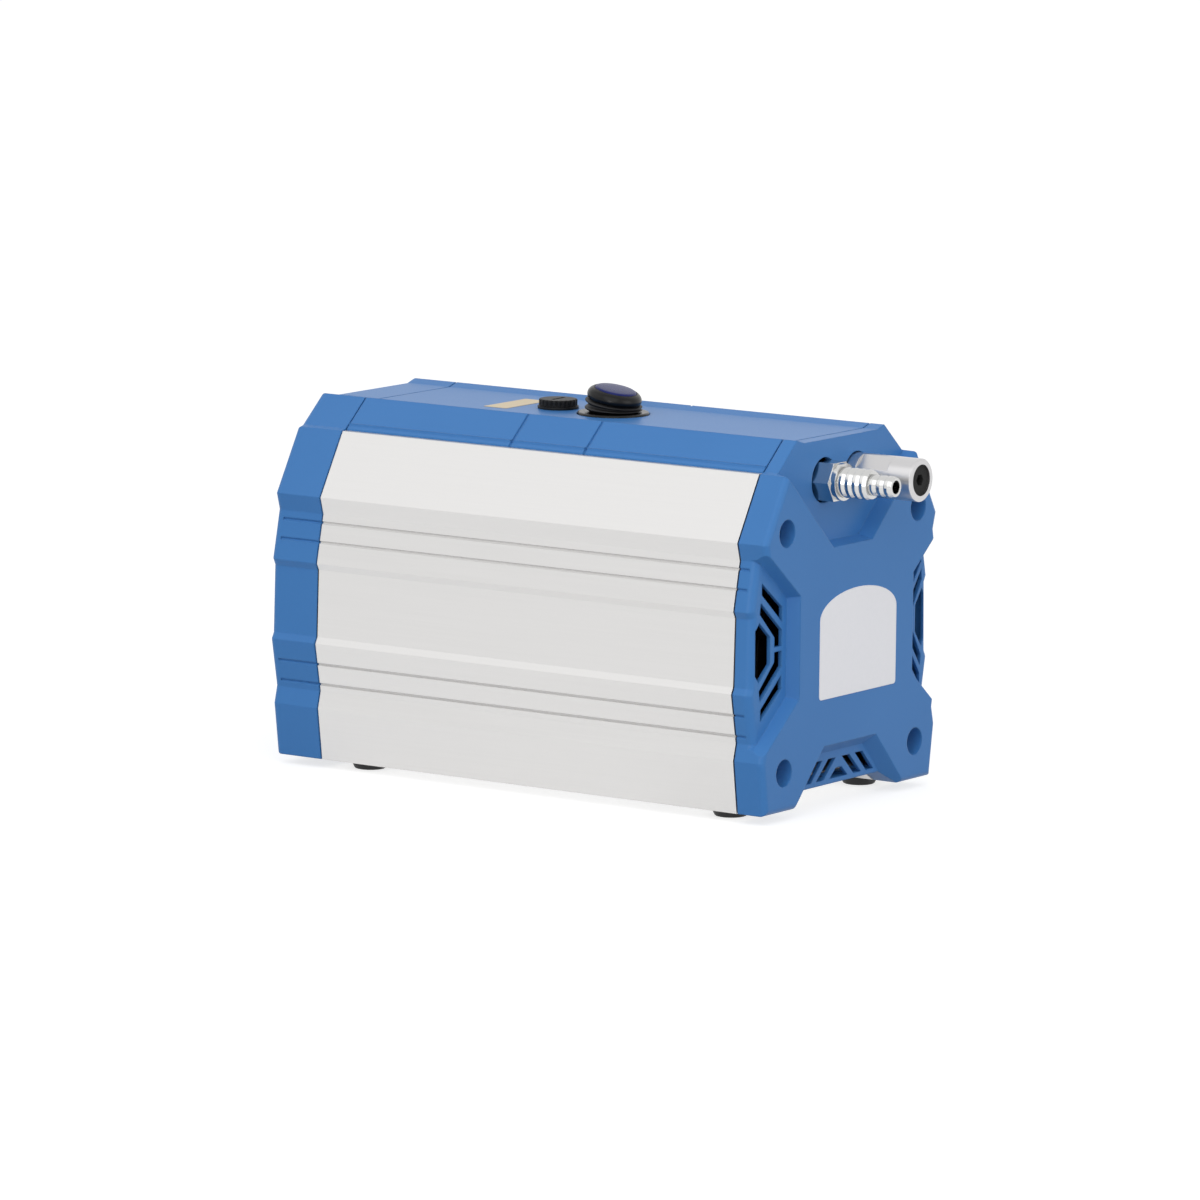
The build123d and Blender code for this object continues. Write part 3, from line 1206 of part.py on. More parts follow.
def rear_shield():
    """Cast end shield: pilot ring, bearing seat and a foot on the cradle."""
    half = SHIELD_WIDTH / 2
    top = AXIS_HEIGHT + half
    shield = block(-half, half, SHIELD_FRONT, SHIELD_REAR, CRADLE_TOP, top)
    shield = fillet(shield.edges().filter_by(Axis.Y), 5.0)
    shield += rod_y(PILOT_RADIUS, 0, AXIS_HEIGHT, STATOR_REAR, SHIELD_FRONT)
    shield -= rod_y(PILOT_BORE, 0, AXIS_HEIGHT, STATOR_REAR - 1, SHIELD_FRONT)
    seat = SHIELD_FRONT + 2 + BEARING_WIDTH
    shield -= rod_y(BEARING_OUTER / 2, 0, AXIS_HEIGHT, SHIELD_FRONT - 1, seat)
    for number in range(SHIELD_VENTS):
        angle = 360 * (number + 0.5) / SHIELD_VENTS
        vent = Pos(21, 0, 0) * Box(9, 40, 5)
        shield -= Pos(0, SHIELD_REAR - 8, AXIS_HEIGHT) * Rot(0, angle, 0) * vent
    for x, z in tie_places():
        shield -= rod_y(TIE_RADIUS, x, z, STATOR_REAR - 1, SHIELD_REAR + 1)
    return shield


# ---- suspension and electrical parts ----
def cradle():
    """Steel plate that carries crankcase and motor on the rubber mounts."""
    half = CRADLE_WIDTH / 2
    plate = block(-half, half, CASE_FRONT, SHIELD_REAR, CRADLE_TOP - CRADLE_THICKNESS, CRADLE_TOP)
    for x, y in mount_places():
        plate -= rod_z(FOOT_SCREW / 2, x, y, MIDDLE_FLOOR, CRADLE_TOP + 1)
    slot = Pos(0, (CASE_REAR + SHIELD_FRONT) / 2, CRADLE_TOP) * Box(30, 40, 10)
    return plate - slot


def rubber_mounts():
    """Four rubber buffers between cradle and extrusion."""
    mounts = Part()
    for x, y in mount_places():
        top = MIDDLE_FLOOR + MOUNT_HEIGHT
        mount = rod_z(MOUNT_RADIUS, x, y, MIDDLE_FLOOR, top)
        mount -= rod_z(FOOT_SCREW / 2, x, y, MIDDLE_FLOOR - 1, top + 1)
        mounts += mount
    return mounts


def mount_screws():
    """Screws from below through extrusion and mounts into the cradle."""
    screws = Part()
    for x, y in mount_places():
        seat = FOOT_HEIGHT + ARCH_HEIGHT
        screws += rod_z(FOOT_SCREW / 2, x, y, seat, CRADLE_TOP)
        screws += rod_z(FOOT_SCREW * 0.85, x, y, seat - 1.8, seat)
    return screws


def capacitor_centre():
    """Middle of the capacitor as (y, z): across the back of the rear shield."""
    return SHIELD_REAR + CLIP_WALL + CAPACITOR_RADIUS, AXIS_HEIGHT + CAPACITOR_RISE


def capacitor():
    """Motor run capacitor with two tags at one end."""
    y, z = capacitor_centre()
    half = CAPACITOR_LENGTH / 2
    can = rod_x(CAPACITOR_RADIUS, y, z, -half, half)
    can = fillet(can.edges().filter_by(GeomType.CIRCLE), 1.2)
    for side in (-1, 1):
        tag = z + side * 4
        can += block(half - 1, half + 6, y - 3, y + 3, tag - 0.4, tag + 0.4)
    return can


def capacitor_clip():
    """Open spring clip that holds the capacitor against the rear shield."""
    y, z = capacitor_centre()
    half = CLIP_WIDTH / 2
    clip = rod_x(CAPACITOR_RADIUS + CLIP_WALL, y, z, -half, half)
    clip += block(-half, half, SHIELD_REAR, y, z - 6, z + 6)
    clip -= rod_x(CAPACITOR_RADIUS, y, z, -half - 1, half + 1)
    return clip - block(-half - 1, half + 1, y + 2, y + 30, z - 9, z + 9)


def mains_inlet():
    """Appliance inlet fixed from inside: its mouth is flush with the rear cover's outside."""
    z = FOOT_HEIGHT + INLET_HEIGHT
    inside = REAR_FACE - COVER_WALL
    half = INLET_FLANGE_WIDTH / 2
    tall = INLET_FLANGE_TALL / 2
    flange = block(-half, half, inside - INLET_FLANGE, inside, z - tall, z + tall)
    flange = fillet(flange.edges().filter_by(Axis.Y), 5.0)
    half = INLET_WIDTH / 2
    tall = INLET_TALL / 2
    inlet = flange + block(-half, half, REAR_FACE - INLET_DEPTH, REAR_FACE, z - tall, z + tall)
    half -= INLET_WALL
    tall -= INLET_WALL
    well = [(-half, z - tall), (half, z - tall), (half, z + tall - INLET_CORNER)]
    well += [(half - INLET_CORNER, z + tall), (INLET_CORNER - half, z + tall)]
    well += [(-half, z + tall - INLET_CORNER)]
    inlet -= prism(well, REAR_FACE - PIN_REACH, REAR_FACE + 1)
    for side in (-1, 1):
        x = side * INLET_SCREWS / 2
        inlet -= rod_y(INLET_SCREW / 2, x, z, inside - INLET_FLANGE - 1, inside + 1)
    for x, dz in pin_places():
        inlet -= pin_block(x, z + dz, REAR_FACE - INLET_DEPTH - 1, REAR_FACE - PIN_REACH + 1)
    return inlet


def pin_block(x, z, front, rear):
    """One flat pin of the inlet."""
    return block(x - PIN_WIDTH / 2, x + PIN_WIDTH / 2, front, rear, z - PIN_TALL / 2, z + PIN_TALL / 2)


def pin_places():
    """Pin centres of the inlet as (x, height from its middle)."""
    return [(-7.0, -2.0), (7.0, -2.0), (0.0, 2.0)]


def inlet_pins():
    """Three flat pins, run through to solder tags at the back."""
    z = FOOT_HEIGHT + INLET_HEIGHT
    pins = Part()
    for x, dz in pin_places():
        pins += pin_block(x, z + dz, REAR_FACE - INLET_DEPTH - 6, REAR_FACE - PIN_SINK)
    return pins


def inlet_screws():
    """Two screws of the inlet, their heads sunk in the rear cover."""
    z = FOOT_HEIGHT + INLET_HEIGHT
    screws = Part()
    for side in (-1, 1):
        x = side * INLET_SCREWS / 2
        screws += rod_y(INLET_SCREW / 2, x, z, REAR_FACE - COVER_WALL - 5, REAR_FACE - INLET_SINK)
        screws += rod_y(INLET_SCREW_HEAD / 2, x, z, REAR_FACE - INLET_SINK, REAR_FACE - 0.2)
    return screws


def terminal_block():
    """Two-way terminal block on the floor behind the motor."""
    y = SHIELD_REAR + 16
    floor = MIDDLE_FLOOR
    body = block(-TERMINAL_LENGTH / 2, TERMINAL_LENGTH / 2, y - 8, y + 8, floor, floor + 12)
    for number in range(3):
        x = (number - 1) * 8.0
        body -= rod_z(1.8, x, y - 4, floor + 6, floor + 13)
        body -= rod_z(1.8, x, y + 4, floor + 6, floor + 13)
    return body


NODES = {
    "housing_profile": housing_profile,
    "front_cover": front_cover,
    "rear_cover": rear_cover,
    "roof_panel": roof_panel,
    "front_gasket": lambda: seam_gasket(FRONT_SEAM),
    "rear_gasket": lambda: seam_gasket(PROFILE_REAR),
    "front_cover_screws": lambda: cover_screws(FRONT_SEAM - BOSS_FLOOR, 1),
    "rear_cover_screws": lambda: cover_screws(REAR_SEAM + BOSS_FLOOR, -1),
    "rubber_feet": rubber_feet,
    "foot_screws": foot_screws,
    "inlet_nozzle": inlet_nozzle,
    "silencer_body": silencer_body,
    "silencer_insert": silencer_insert,
    "port_seals": port_seals,
    "switch_body": switch_body,
    "switch_boot": switch_boot,
    "switch_rocker": switch_rocker,
    "switch_lens": switch_lens,
    "fuse_body": fuse_body,
    "fuse_nut": fuse_nut,
    "fuse_cap": fuse_cap,
    "fuse_carrier": fuse_carrier,
    "glass_fuse": glass_fuse,
    "head_cover": head_cover,
    "valve_plate": valve_plate,
    "valve_discs": valve_discs,
    "head_screws": head_screws,
    "diaphragm": diaphragm,
    "clamping_disc": clamping_disc,
    "con_rod": con_rod,
    "rod_bearing": rod_bearing,
    "crankcase": crankcase,
    "crankcase_lid": crankcase_lid,
    "lid_screws": lid_screws,
    "front_bearing": front_bearing,
    "rear_bearing": rear_bearing,
    "motor_shaft": motor_shaft,
    "eccentric": eccentric,
    "fan_wheel": fan_wheel,
    "stator_core": stator_core,
    "windings": windings,
    "rotor_core": rotor_core,
    "rear_shield": rear_shield,
    "tie_bolts": tie_bolts,
    "cradle": cradle,
    "rubber_mounts": rubber_mounts,
    "mount_screws": mount_screws,
    "capacitor": capacitor,
    "capacitor_clip": capacitor_clip,
    "mains_inlet": mains_inlet,
    "inlet_pins": inlet_pins,
    "inlet_screws": inlet_screws,
    "terminal_block": terminal_block,
}

os.makedirs("parts", exist_ok=True)
for name, build in NODES.items():
    shape = build()
    export_step(shape, f"parts/{name}.step")
    box = shape.bounding_box()
    print(f"{name:20s} {len(shape.solids())} {shape.volume:10.0f} {box.min} {box.max}")
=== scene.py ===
# %% [markdown]
# # A bench-top vacuum pump, dressed for a picture
# The pump is an aluminium extrusion closed by two blue moulded covers and a moulded roof.
# The CAD frame already holds every hard piece at its true size, so this lesson gives those
# pieces their finishes and adds what CAD leaves out: labels, a soft bellows and wound copper.
# Everything is in metres. Places are read from the frame, apart from the two labels and the
# camera, whose own measures are named values.

import json
import math

import bmesh
import bpy
from mathutils import Matrix, Vector


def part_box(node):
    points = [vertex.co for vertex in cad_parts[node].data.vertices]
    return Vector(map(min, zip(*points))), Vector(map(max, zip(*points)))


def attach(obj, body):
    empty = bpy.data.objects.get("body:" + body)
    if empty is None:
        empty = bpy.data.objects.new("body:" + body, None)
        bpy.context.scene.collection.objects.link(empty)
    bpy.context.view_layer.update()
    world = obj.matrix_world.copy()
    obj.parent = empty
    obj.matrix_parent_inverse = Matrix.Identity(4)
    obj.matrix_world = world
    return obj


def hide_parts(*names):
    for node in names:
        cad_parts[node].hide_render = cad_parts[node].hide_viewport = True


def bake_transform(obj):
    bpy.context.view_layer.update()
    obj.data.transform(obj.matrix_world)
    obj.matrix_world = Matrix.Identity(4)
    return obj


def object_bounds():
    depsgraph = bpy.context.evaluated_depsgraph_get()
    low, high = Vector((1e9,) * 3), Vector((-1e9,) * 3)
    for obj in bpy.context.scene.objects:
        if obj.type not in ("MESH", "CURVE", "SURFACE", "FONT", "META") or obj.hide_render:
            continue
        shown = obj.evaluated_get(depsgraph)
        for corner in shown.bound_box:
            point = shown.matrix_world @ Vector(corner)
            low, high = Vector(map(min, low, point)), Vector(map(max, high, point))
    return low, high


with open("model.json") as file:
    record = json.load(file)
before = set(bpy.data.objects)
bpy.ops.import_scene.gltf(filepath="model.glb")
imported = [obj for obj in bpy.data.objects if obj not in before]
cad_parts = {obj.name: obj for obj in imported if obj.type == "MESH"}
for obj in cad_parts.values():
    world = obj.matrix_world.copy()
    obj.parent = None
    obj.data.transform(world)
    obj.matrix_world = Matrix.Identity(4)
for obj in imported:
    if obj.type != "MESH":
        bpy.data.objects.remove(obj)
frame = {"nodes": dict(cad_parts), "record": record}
nodes = frame["nodes"]
cad_low, cad_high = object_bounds()
print("nodes", len(nodes), "box", [round(1000 * v, 1) for v in cad_high - cad_low], "mm")

# %% [markdown]
# ## Colours, nodes and scales
# Colours are written as the sRGB hex values that a maker's colour chart gives, and one function
# turns them to the linear values that the renderer adds up. A pattern's size is written in
# millimetres, since that is how a grain or a brushing line is measured on the real part.


# %% Helpers for materials
def linear(hex_colour):
    """An sRGB hex colour as the linear RGBA that a shader expects."""
    shares = [int(hex_colour[i : i + 2], 16) / 255 for i in (1, 3, 5)]
    return [c / 12.92 if c <= 0.04045 else ((c + 0.055) / 1.055) ** 2.4 for c in shares] + [1.0]


def repeats(millimetres):
    """The texture scale that repeats once in this many millimetres."""
    return 1000 / millimetres


def add(tree, kind, settings, links=()):
    """Adds a node. A setting is an input's value where the node has that input, else a property."""
    node = tree.nodes.new(kind)
    for key, value in settings.items():
        if isinstance(key, int) or key in node.inputs:
            node.inputs[key].default_value = value
        else:
            setattr(node, key, value)
    for source, target in links:
        tree.links.new(source, node.inputs[target])
    return node


def principled(name, colour, settings):
    """A material with one shader: returns the material, its tree, the shader and the position."""
    material = bpy.data.materials.new(name)
    material.use_nodes = True
    tree = material.node_tree
    shader = tree.nodes["Principled BSDF"]
    shader.inputs["Base Color"].default_value = linear(colour)
    for key, value in settings.items():
        shader.inputs[key].default_value = value
    place = add(tree, "ShaderNodeTexCoord", {}).outputs["Object"]
    return material, tree, shader, place


def relief(tree, shader, height, depth_mm, edge_mm=0.3):
    """Raises the surface by a height pattern of this depth, and breaks its edges by this radius."""
    edge = add(tree, "ShaderNodeBevel", {"samples": 4, "Radius": edge_mm / 1000})
    bump = add(
        tree,
        "ShaderNodeBump",
        {"Distance": depth_mm / 1000},
        [(height, "Height"), (edge.outputs["Normal"], "Normal")],
    )
    tree.links.new(bump.outputs["Normal"], shader.inputs["Normal"])


def spread(tree, value, low, high):
    """Maps a 0 to 1 pattern to a range."""
    ranged = add(tree, "ShaderNodeMapRange", {"To Min": low, "To Max": high}, [(value, "Value")])
    return ranged.outputs["Result"]


def tinted(tree, shader, pattern, dark, light):
    """Lets the base colour wander between two close shades."""
    mix = add(
        tree,
        "ShaderNodeMix",
        {"data_type": "RGBA", 6: linear(dark), 7: linear(light)},
        [(pattern, 0)],
    )
    tree.links.new(mix.outputs[2], shader.inputs["Base Color"])


print("helpers ready")

# %% [markdown]
# ## Moulded ABS
# The covers and the roof are injection moulded in blue ABS, in a mould whose faces are spark
# eroded. That leaves an even grain of about half a millimetre, which scatters the highlight and
# makes flat faces look soft. A slow change of shade stands for flow in the moulding.


# %% Blue moulded covers
def moulded(name, dark, light, rough_low, rough_high, grain_mm=0.55, grain_depth=0.012):
    """Spark-eroded moulding: fine grain in the relief, slow drift in shade and roughness."""
    finish = {"IOR": 1.45, "Specular IOR Level": 0.3}
    material, tree, shader, place = principled(name, light, finish)
    drift = add(tree, "ShaderNodeTexNoise", {"Scale": repeats(70), "Detail": 3.0}, [(place, "Vector")])
    grain = add(tree, "ShaderNodeTexNoise", {"Scale": repeats(grain_mm), "Detail": 4.0}, [(place, "Vector")])
    tinted(tree, shader, drift.outputs["Fac"], dark, light)
    rough = spread(tree, grain.outputs["Fac"], rough_low, rough_high)
    tree.links.new(rough, shader.inputs["Roughness"])
    relief(tree, shader, grain.outputs["Fac"], grain_depth, 0.8)
    return material


blue_abs = moulded("Spark_eroded_blue_ABS", "#3C79BB", "#4582C4", 0.32, 0.46)
black_abs = moulded("Moulded_black_polyamide", "#0E0E0F", "#151516", 0.40, 0.55)
switch_black = moulded("Polished_black_polycarbonate", "#050505", "#09090A", 0.20, 0.30, 1.2, 0.004)
print("moulded finishes", blue_abs.name, black_abs.name, switch_black.name)

# %% [markdown]
# ## Anodised aluminium
# The housing is pressed through a die, so faint lines run along its whole length, and it is then
# etched and anodised to a silver satin. The lines come from noise that is squeezed across the
# housing and drawn out along it. They change roughness and relief, and hardly change the colour.


# %% Extruded housing
def anodised(name, dark, light, rough_low, rough_high, line_mm=0.8, line_depth=0.006):
    """Satin metal with die lines along Y."""
    material, tree, shader, place = principled(name, light, {"Metallic": 1.0})
    drawn = add(tree, "ShaderNodeMapping", {"Scale": (1.0, 0.012, 1.0)}, [(place, "Vector")])
    lines = add(
        tree,
        "ShaderNodeTexNoise",
        {"Scale": repeats(line_mm), "Detail": 3.0},
        [(drawn.outputs["Vector"], "Vector")],
    )
    etch = add(tree, "ShaderNodeTexNoise", {"Scale": repeats(0.5), "Detail": 2.0}, [(place, "Vector")])
    both = add(
        tree,
        "ShaderNodeMath",
        {"operation": "MULTIPLY_ADD", 1: 0.35},
        [(etch.outputs["Fac"], 0), (lines.outputs["Fac"], 2)],
    )
    tinted(tree, shader, lines.outputs["Fac"], dark, light)
    rough = spread(tree, lines.outputs["Fac"], rough_low, rough_high)
    tree.links.new(rough, shader.inputs["Roughness"])
    relief(tree, shader, both.outputs["Value"], line_depth)
    return material


anodised_shell = anodised("Anodised_aluminium_extrusion", "#D3D2D1", "#D9D8D7", 0.36, 0.50)
print("extrusion finish", anodised_shell.name)

# %% [markdown]
# ## Turned and plated metal
# The hose nozzle is turned brass with bright nickel, so it mirrors its surroundings and the only
# texture is the ring marks of the lathe. The silencer is turned aluminium left satin, so its
# highlight is wider. Both have rings about the axis that they were turned on, which is along Y.


# %% Nozzle and silencer
def turned(name, colour, rough, axis_at, ring_mm, ring_depth):
    """Lathe rings round an axis along Y through the given point."""
    material, tree, shader, place = principled(name, colour, {"Metallic": 1.0, "Roughness": rough})
    centred = add(tree, "ShaderNodeMapping", {"Location": [-v for v in axis_at]}, [(place, "Vector")])
    rings = add(
        tree,
        "ShaderNodeTexWave",
        {"wave_type": "BANDS", "bands_direction": "Y", "Scale": repeats(ring_mm) / 20, "Distortion": 0.6},
        [(centred.outputs["Vector"], "Vector")],
    )
    relief(tree, shader, rings.outputs["Fac"], ring_depth)
    return material


def axis_of(node):
    """The middle of a node's box."""
    low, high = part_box(node)
    return (low + high) / 2


bright_nickel = turned("Bright_nickel_on_brass", "#CFCFCE", 0.13, axis_of("inlet_nozzle"), 0.35, 0.0015)
satin_tube = turned("Turned_aluminium", "#CECDCE", 0.28, axis_of("silencer_body"), 0.4, 0.003)
print("turned finishes", bright_nickel.name, satin_tube.name)

# %% [markdown]
# ## Rubber, cast metal and the rest
# Rubber is nearly black and only faintly glossy, with a bloom that dulls it in patches. Castings
# carry the orange-peel of the die. Zinc-plated steel is brighter and smoother. The inner pieces
# show only through the air slots, but each still gets the finish that it has when the pump is
# opened, because the same model is looked at from every side.


# %% Soft and cast finishes
def mottled(name, dark, light, metallic, rough_low, rough_high, patch_mm, depth_mm):
    """A surface whose shade, gloss and relief follow one irregular pattern."""
    material, tree, shader, place = principled(name, light, {"Metallic": metallic})
    patch = add(tree, "ShaderNodeTexNoise", {"Scale": repeats(patch_mm), "Detail": 5.0}, [(place, "Vector")])
    tinted(tree, shader, patch.outputs["Fac"], dark, light)
    rough = spread(tree, patch.outputs["Fac"], rough_low, rough_high)
    tree.links.new(rough, shader.inputs["Roughness"])
    relief(tree, shader, patch.outputs["Fac"], depth_mm)
    return material


rubber = mottled("Black_nitrile_rubber", "#08080A", "#111113", 0.0, 0.45, 0.65, 3.0, 0.02)
membrane = mottled("Fabric_backed_elastomer", "#17130F", "#26211D", 0.0, 0.5, 0.7, 1.2, 0.03)
cast = mottled("Die_cast_aluminium", "#A9AAAC", "#BEBFC1", 1.0, 0.42, 0.62, 1.6, 0.03)
zinc_steel = mottled("Zinc_plated_steel", "#B4B6B9", "#C8CACD", 1.0, 0.22, 0.36, 4.0, 0.002)
laminations = mottled("Electrical_steel", "#5B5C60", "#74767B", 1.0, 0.35, 0.5, 0.5, 0.01)
copper = mottled("Enamelled_copper", "#9C4F22", "#C06B33", 1.0, 0.22, 0.34, 5.0, 0.002)
brass = mottled("Plated_brass", "#BFA05A", "#D4B871", 1.0, 0.2, 0.34, 4.0, 0.002)
grey_plastic = mottled("Grey_polyester_housing", "#8D8F8E", "#A2A4A2", 0.0, 0.4, 0.55, 3.0, 0.01)
felt = mottled("Black_silencing_felt", "#090909", "#161616", 0.0, 0.8, 0.95, 0.8, 0.15)
print("materials so far", len(bpy.data.materials))

# %% [markdown]
# ## The lens and the fuse glass
# The switch has a lens of tinted polycarbonate, dark blue with a smooth top. It is drawn as an
# opaque solid, because almost no light comes back out of it. The fuse is clear glass, and its
# metal end caps are not drawn.


# %% Lens and glass
def lens_material():
    """Dark blue polycarbonate, polished, a little lighter where the surface catches dust."""
    material, tree, shader, place = principled(
        "Tinted_blue_polycarbonate", "#1B2260", {"IOR": 1.45, "Specular IOR Level": 0.2}
    )
    cloud = add(tree, "ShaderNodeTexNoise", {"Scale": repeats(6), "Detail": 3.0}, [(place, "Vector")])
    tinted(tree, shader, cloud.outputs["Fac"], "#0E1752", "#15226A")
    rough = spread(tree, cloud.outputs["Fac"], 0.22, 0.34)
    tree.links.new(rough, shader.inputs["Roughness"])
    return material


def glass_material():
    """Clear glass tube, with the faint swirl of drawn tube in its roughness."""
    material, tree, shader, place = principled(
        "Clear_glass", "#EAF2F2", {"IOR": 1.5, "Transmission Weight": 0.9}
    )
    swirl = add(tree, "ShaderNodeTexNoise", {"Scale": repeats(2), "Detail": 2.0}, [(place, "Vector")])
    tree.links.new(spread(tree, swirl.outputs["Fac"], 0.02, 0.08), shader.inputs["Roughness"])
    return material


lens = lens_material()
glass = glass_material()
print("clear finishes", lens.name, glass.name)

# %% [markdown]
# ## Which piece is made of what
# One table gives each CAD node its finish, so that a reader can check the pump's make-up at a
# glance. The meshes stay exactly as the frame has them: only the material slot changes.

# %% Dress the CAD nodes
FINISHES = {
    "front_cover": blue_abs,
    "rear_cover": blue_abs,
    "roof_panel": blue_abs,
    "housing_profile": anodised_shell,
    "inlet_nozzle": bright_nickel,
    "silencer_body": satin_tube,
    "silencer_insert": felt,
    "switch_body": switch_black,
    "switch_boot": rubber,
    "switch_rocker": switch_black,
    "switch_lens": lens,
    "fuse_body": black_abs,
    "fuse_nut": black_abs,
    "fuse_cap": black_abs,
    "fuse_carrier": black_abs,
    "glass_fuse": glass,
    "mains_inlet": black_abs,
    "fan_wheel": black_abs,
    "terminal_block": grey_plastic,
    "capacitor": grey_plastic,
    "rubber_feet": rubber,
    "rubber_mounts": rubber,
    "front_gasket": rubber,
    "rear_gasket": rubber,
    "port_seals": rubber,
    "diaphragm": membrane,
    "valve_discs": membrane,
    "crankcase": cast,
    "crankcase_lid": cast,
    "rear_shield": cast,
    "valve_plate": cast,
    "head_cover": cast,
    "con_rod": cast,
    "clamping_disc": cast,
    "stator_core": laminations,
    "rotor_core": laminations,
    "windings": copper,
    "inlet_pins": brass,
}
for name, piece in nodes.items():
    piece.data.materials.clear()
    piece.data.materials.append(FINISHES.get(name, zinc_steel))
print("plated steel:", sorted(set(nodes) - set(FINISHES)))

# %% [markdown]
# ## Pieces that CAD leaves plain
# Three things are soft, rolled or wound, so they are drawn here around the places that the frame
# gives: the rubber bellows under the button, the button with its rolled rim and bevelled lens, and
# the copper end turns of the motor. What repeats is built by Geometry Nodes with named inputs.


# %% Geometry Nodes helpers
def node_group(name, inputs):
    """A new geometry node group with these float or integer inputs, and its two end nodes."""
    group = bpy.data.node_groups.new(name, "GeometryNodeTree")
    for label, value in inputs.items():
        kind = "NodeSocketInt" if isinstance(value, int) else "NodeSocketFloat"
        group.interface.new_socket(label, in_out="INPUT", socket_type=kind)
    group.interface.new_socket("Geometry", in_out="OUTPUT", socket_type="NodeSocketGeometry")
    return group, group.nodes.new("NodeGroupInput").outputs, group.nodes.new("NodeGroupOutput")


def maths(tree, operation, *values):
    """One math node. Each value is a number or another node's output."""
    node = add(tree, "ShaderNodeMath", {"operation": operation})
    for socket, value in zip(node.inputs, values):
        if isinstance(value, (int, float)):
            socket.default_value = value
        else:
            tree.links.new(value, socket)
    return node.outputs[0]


def built(name, group, values):
    """Runs a node group on an empty mesh and keeps its result as a plain piece."""
    source = bpy.data.objects.new(name + "_source", bpy.data.meshes.new(name + "_source"))
    bpy.context.scene.collection.objects.link(source)
    modifier = source.modifiers.new(name, "NODES")
    modifier.node_group = group
    sockets = {item.name: item.identifier for item in group.interface.items_tree if item.in_out == "INPUT"}
    for label, value in values.items():
        modifier[sockets[label]] = value
    source.update_tag()
    graph = bpy.context.evaluated_depsgraph_get()
    data = bpy.data.meshes.new_from_object(source.evaluated_get(graph), depsgraph=graph)
    bpy.data.objects.remove(source)
    data.name = name
    piece = bpy.data.objects.new(name, data)
    bpy.context.scene.collection.objects.link(piece)
    return piece


print("node helpers ready")

# %% [markdown]
# ## The bellows
# The bellows is one closed rubber skin. Its outline goes up the outside and down the inside, and
# wanders in and out once per fold. The node group bends a flat grid round this outline, and leans
# every level a little more, so that the foot lies on the flange and the head follows the button.
# The skin keeps this one shape, and does not bend when the switch is pressed. It is known to
# fall short at the far limit: the head does not turn all the way, and the button lifts off it.

# %% Bellows under the button
rock = next(j for j in frame["record"]["behaviour"]["joints"] if j["name"] == "switch_rock")
pivot = Vector(rock["pos_m"])
TILT = math.radians(-rock["range_deg"][0] / 2)
boot_low, boot_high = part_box("switch_boot")
BUTTON_FOOT = 0.0011
bellows_inputs = {
    "Radius": (boot_high.x - boot_low.x) / 2,
    "Fold depth": 0.0014,
    "Skin": 0.0010,
    "Rise": pivot.z + BUTTON_FOOT * math.cos(TILT) - boot_low.z,
    "Lean": -BUTTON_FOOT * math.sin(TILT),
    "Tilt": TILT,
    "Folds": 2,
}
bellows_group, given, end = node_group("bellows", bellows_inputs)
grid = add(
    bellows_group,
    "GeometryNodeMeshGrid",
    {"Size X": 1.0, "Size Y": 1.0, "Vertices X": 97, "Vertices Y": 81},
)
spot = add(bellows_group, "GeometryNodeInputPosition", {})
across = add(bellows_group, "ShaderNodeSeparateXYZ", {}, [(spot.outputs[0], 0)])
turn = maths(bellows_group, "MULTIPLY", across.outputs["X"], math.tau)
lap = maths(bellows_group, "MULTIPLY", across.outputs["Y"], 2.0)
level = maths(bellows_group, "SUBTRACT", 1.0, maths(bellows_group, "ABSOLUTE", lap))
wave = maths(bellows_group, "MULTIPLY", maths(bellows_group, "MULTIPLY", level, given["Folds"]), math.tau)
dent = maths(bellows_group, "MULTIPLY_ADD", maths(bellows_group, "COSINE", wave), 0.5, 0.5)
dent = maths(bellows_group, "MULTIPLY", dent, given["Fold depth"])
skin = maths(bellows_group, "SINE", maths(bellows_group, "MULTIPLY", lap, math.pi))
skin = maths(bellows_group, "MULTIPLY", skin, maths(bellows_group, "MULTIPLY", given["Skin"], -0.5))
radius = maths(bellows_group, "ADD", maths(bellows_group, "SUBTRACT", given["Radius"], dent), skin)
ring = add(
    bellows_group,
    "ShaderNodeCombineXYZ",
    {},
    [
        (maths(bellows_group, "MULTIPLY", radius, maths(bellows_group, "COSINE", turn)), "X"),
        (maths(bellows_group, "MULTIPLY", radius, maths(bellows_group, "SINE", turn)), "Y"),
    ],
)
leaning = add(
    bellows_group,
    "ShaderNodeVectorRotate",
    {"rotation_type": "X_AXIS"},
    [(ring.outputs[0], "Vector"), (maths(bellows_group, "MULTIPLY", level, given["Tilt"]), "Angle")],
)
centre = add(
    bellows_group,
    "ShaderNodeCombineXYZ",
    {},
    [
        (maths(bellows_group, "MULTIPLY", level, given["Lean"]), "Y"),
        (maths(bellows_group, "MULTIPLY", level, given["Rise"]), "Z"),
    ],
)
moved = add(
    bellows_group,
    "ShaderNodeVectorMath",
    {"operation": "ADD"},
    [(leaning.outputs[0], 0), (centre.outputs[0], 1)],
)
wrapped = add(
    bellows_group,
    "GeometryNodeSetPosition",
    {},
    [(grid.outputs["Mesh"], "Geometry"), (moved.outputs[0], "Position")],
)
closed = add(
    bellows_group, "GeometryNodeMergeByDistance", {"Distance": 0.00001}, [(wrapped.outputs[0], "Geometry")]
)
smooth = add(bellows_group, "GeometryNodeSetShadeSmooth", {}, [(closed.outputs[0], "Geometry")])
finished = add(
    bellows_group,
    "GeometryNodeSetMaterial",
    {"Material": rubber},
    [(smooth.outputs[0], "Geometry")],
)
bellows_group.links.new(finished.outputs[0], end.inputs[0])
bellows = built("switch_bellows", bellows_group, bellows_inputs)
bellows.data.transform(Matrix.Translation((pivot.x, pivot.y, boot_low.z)))
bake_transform(bellows)
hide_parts("switch_boot")
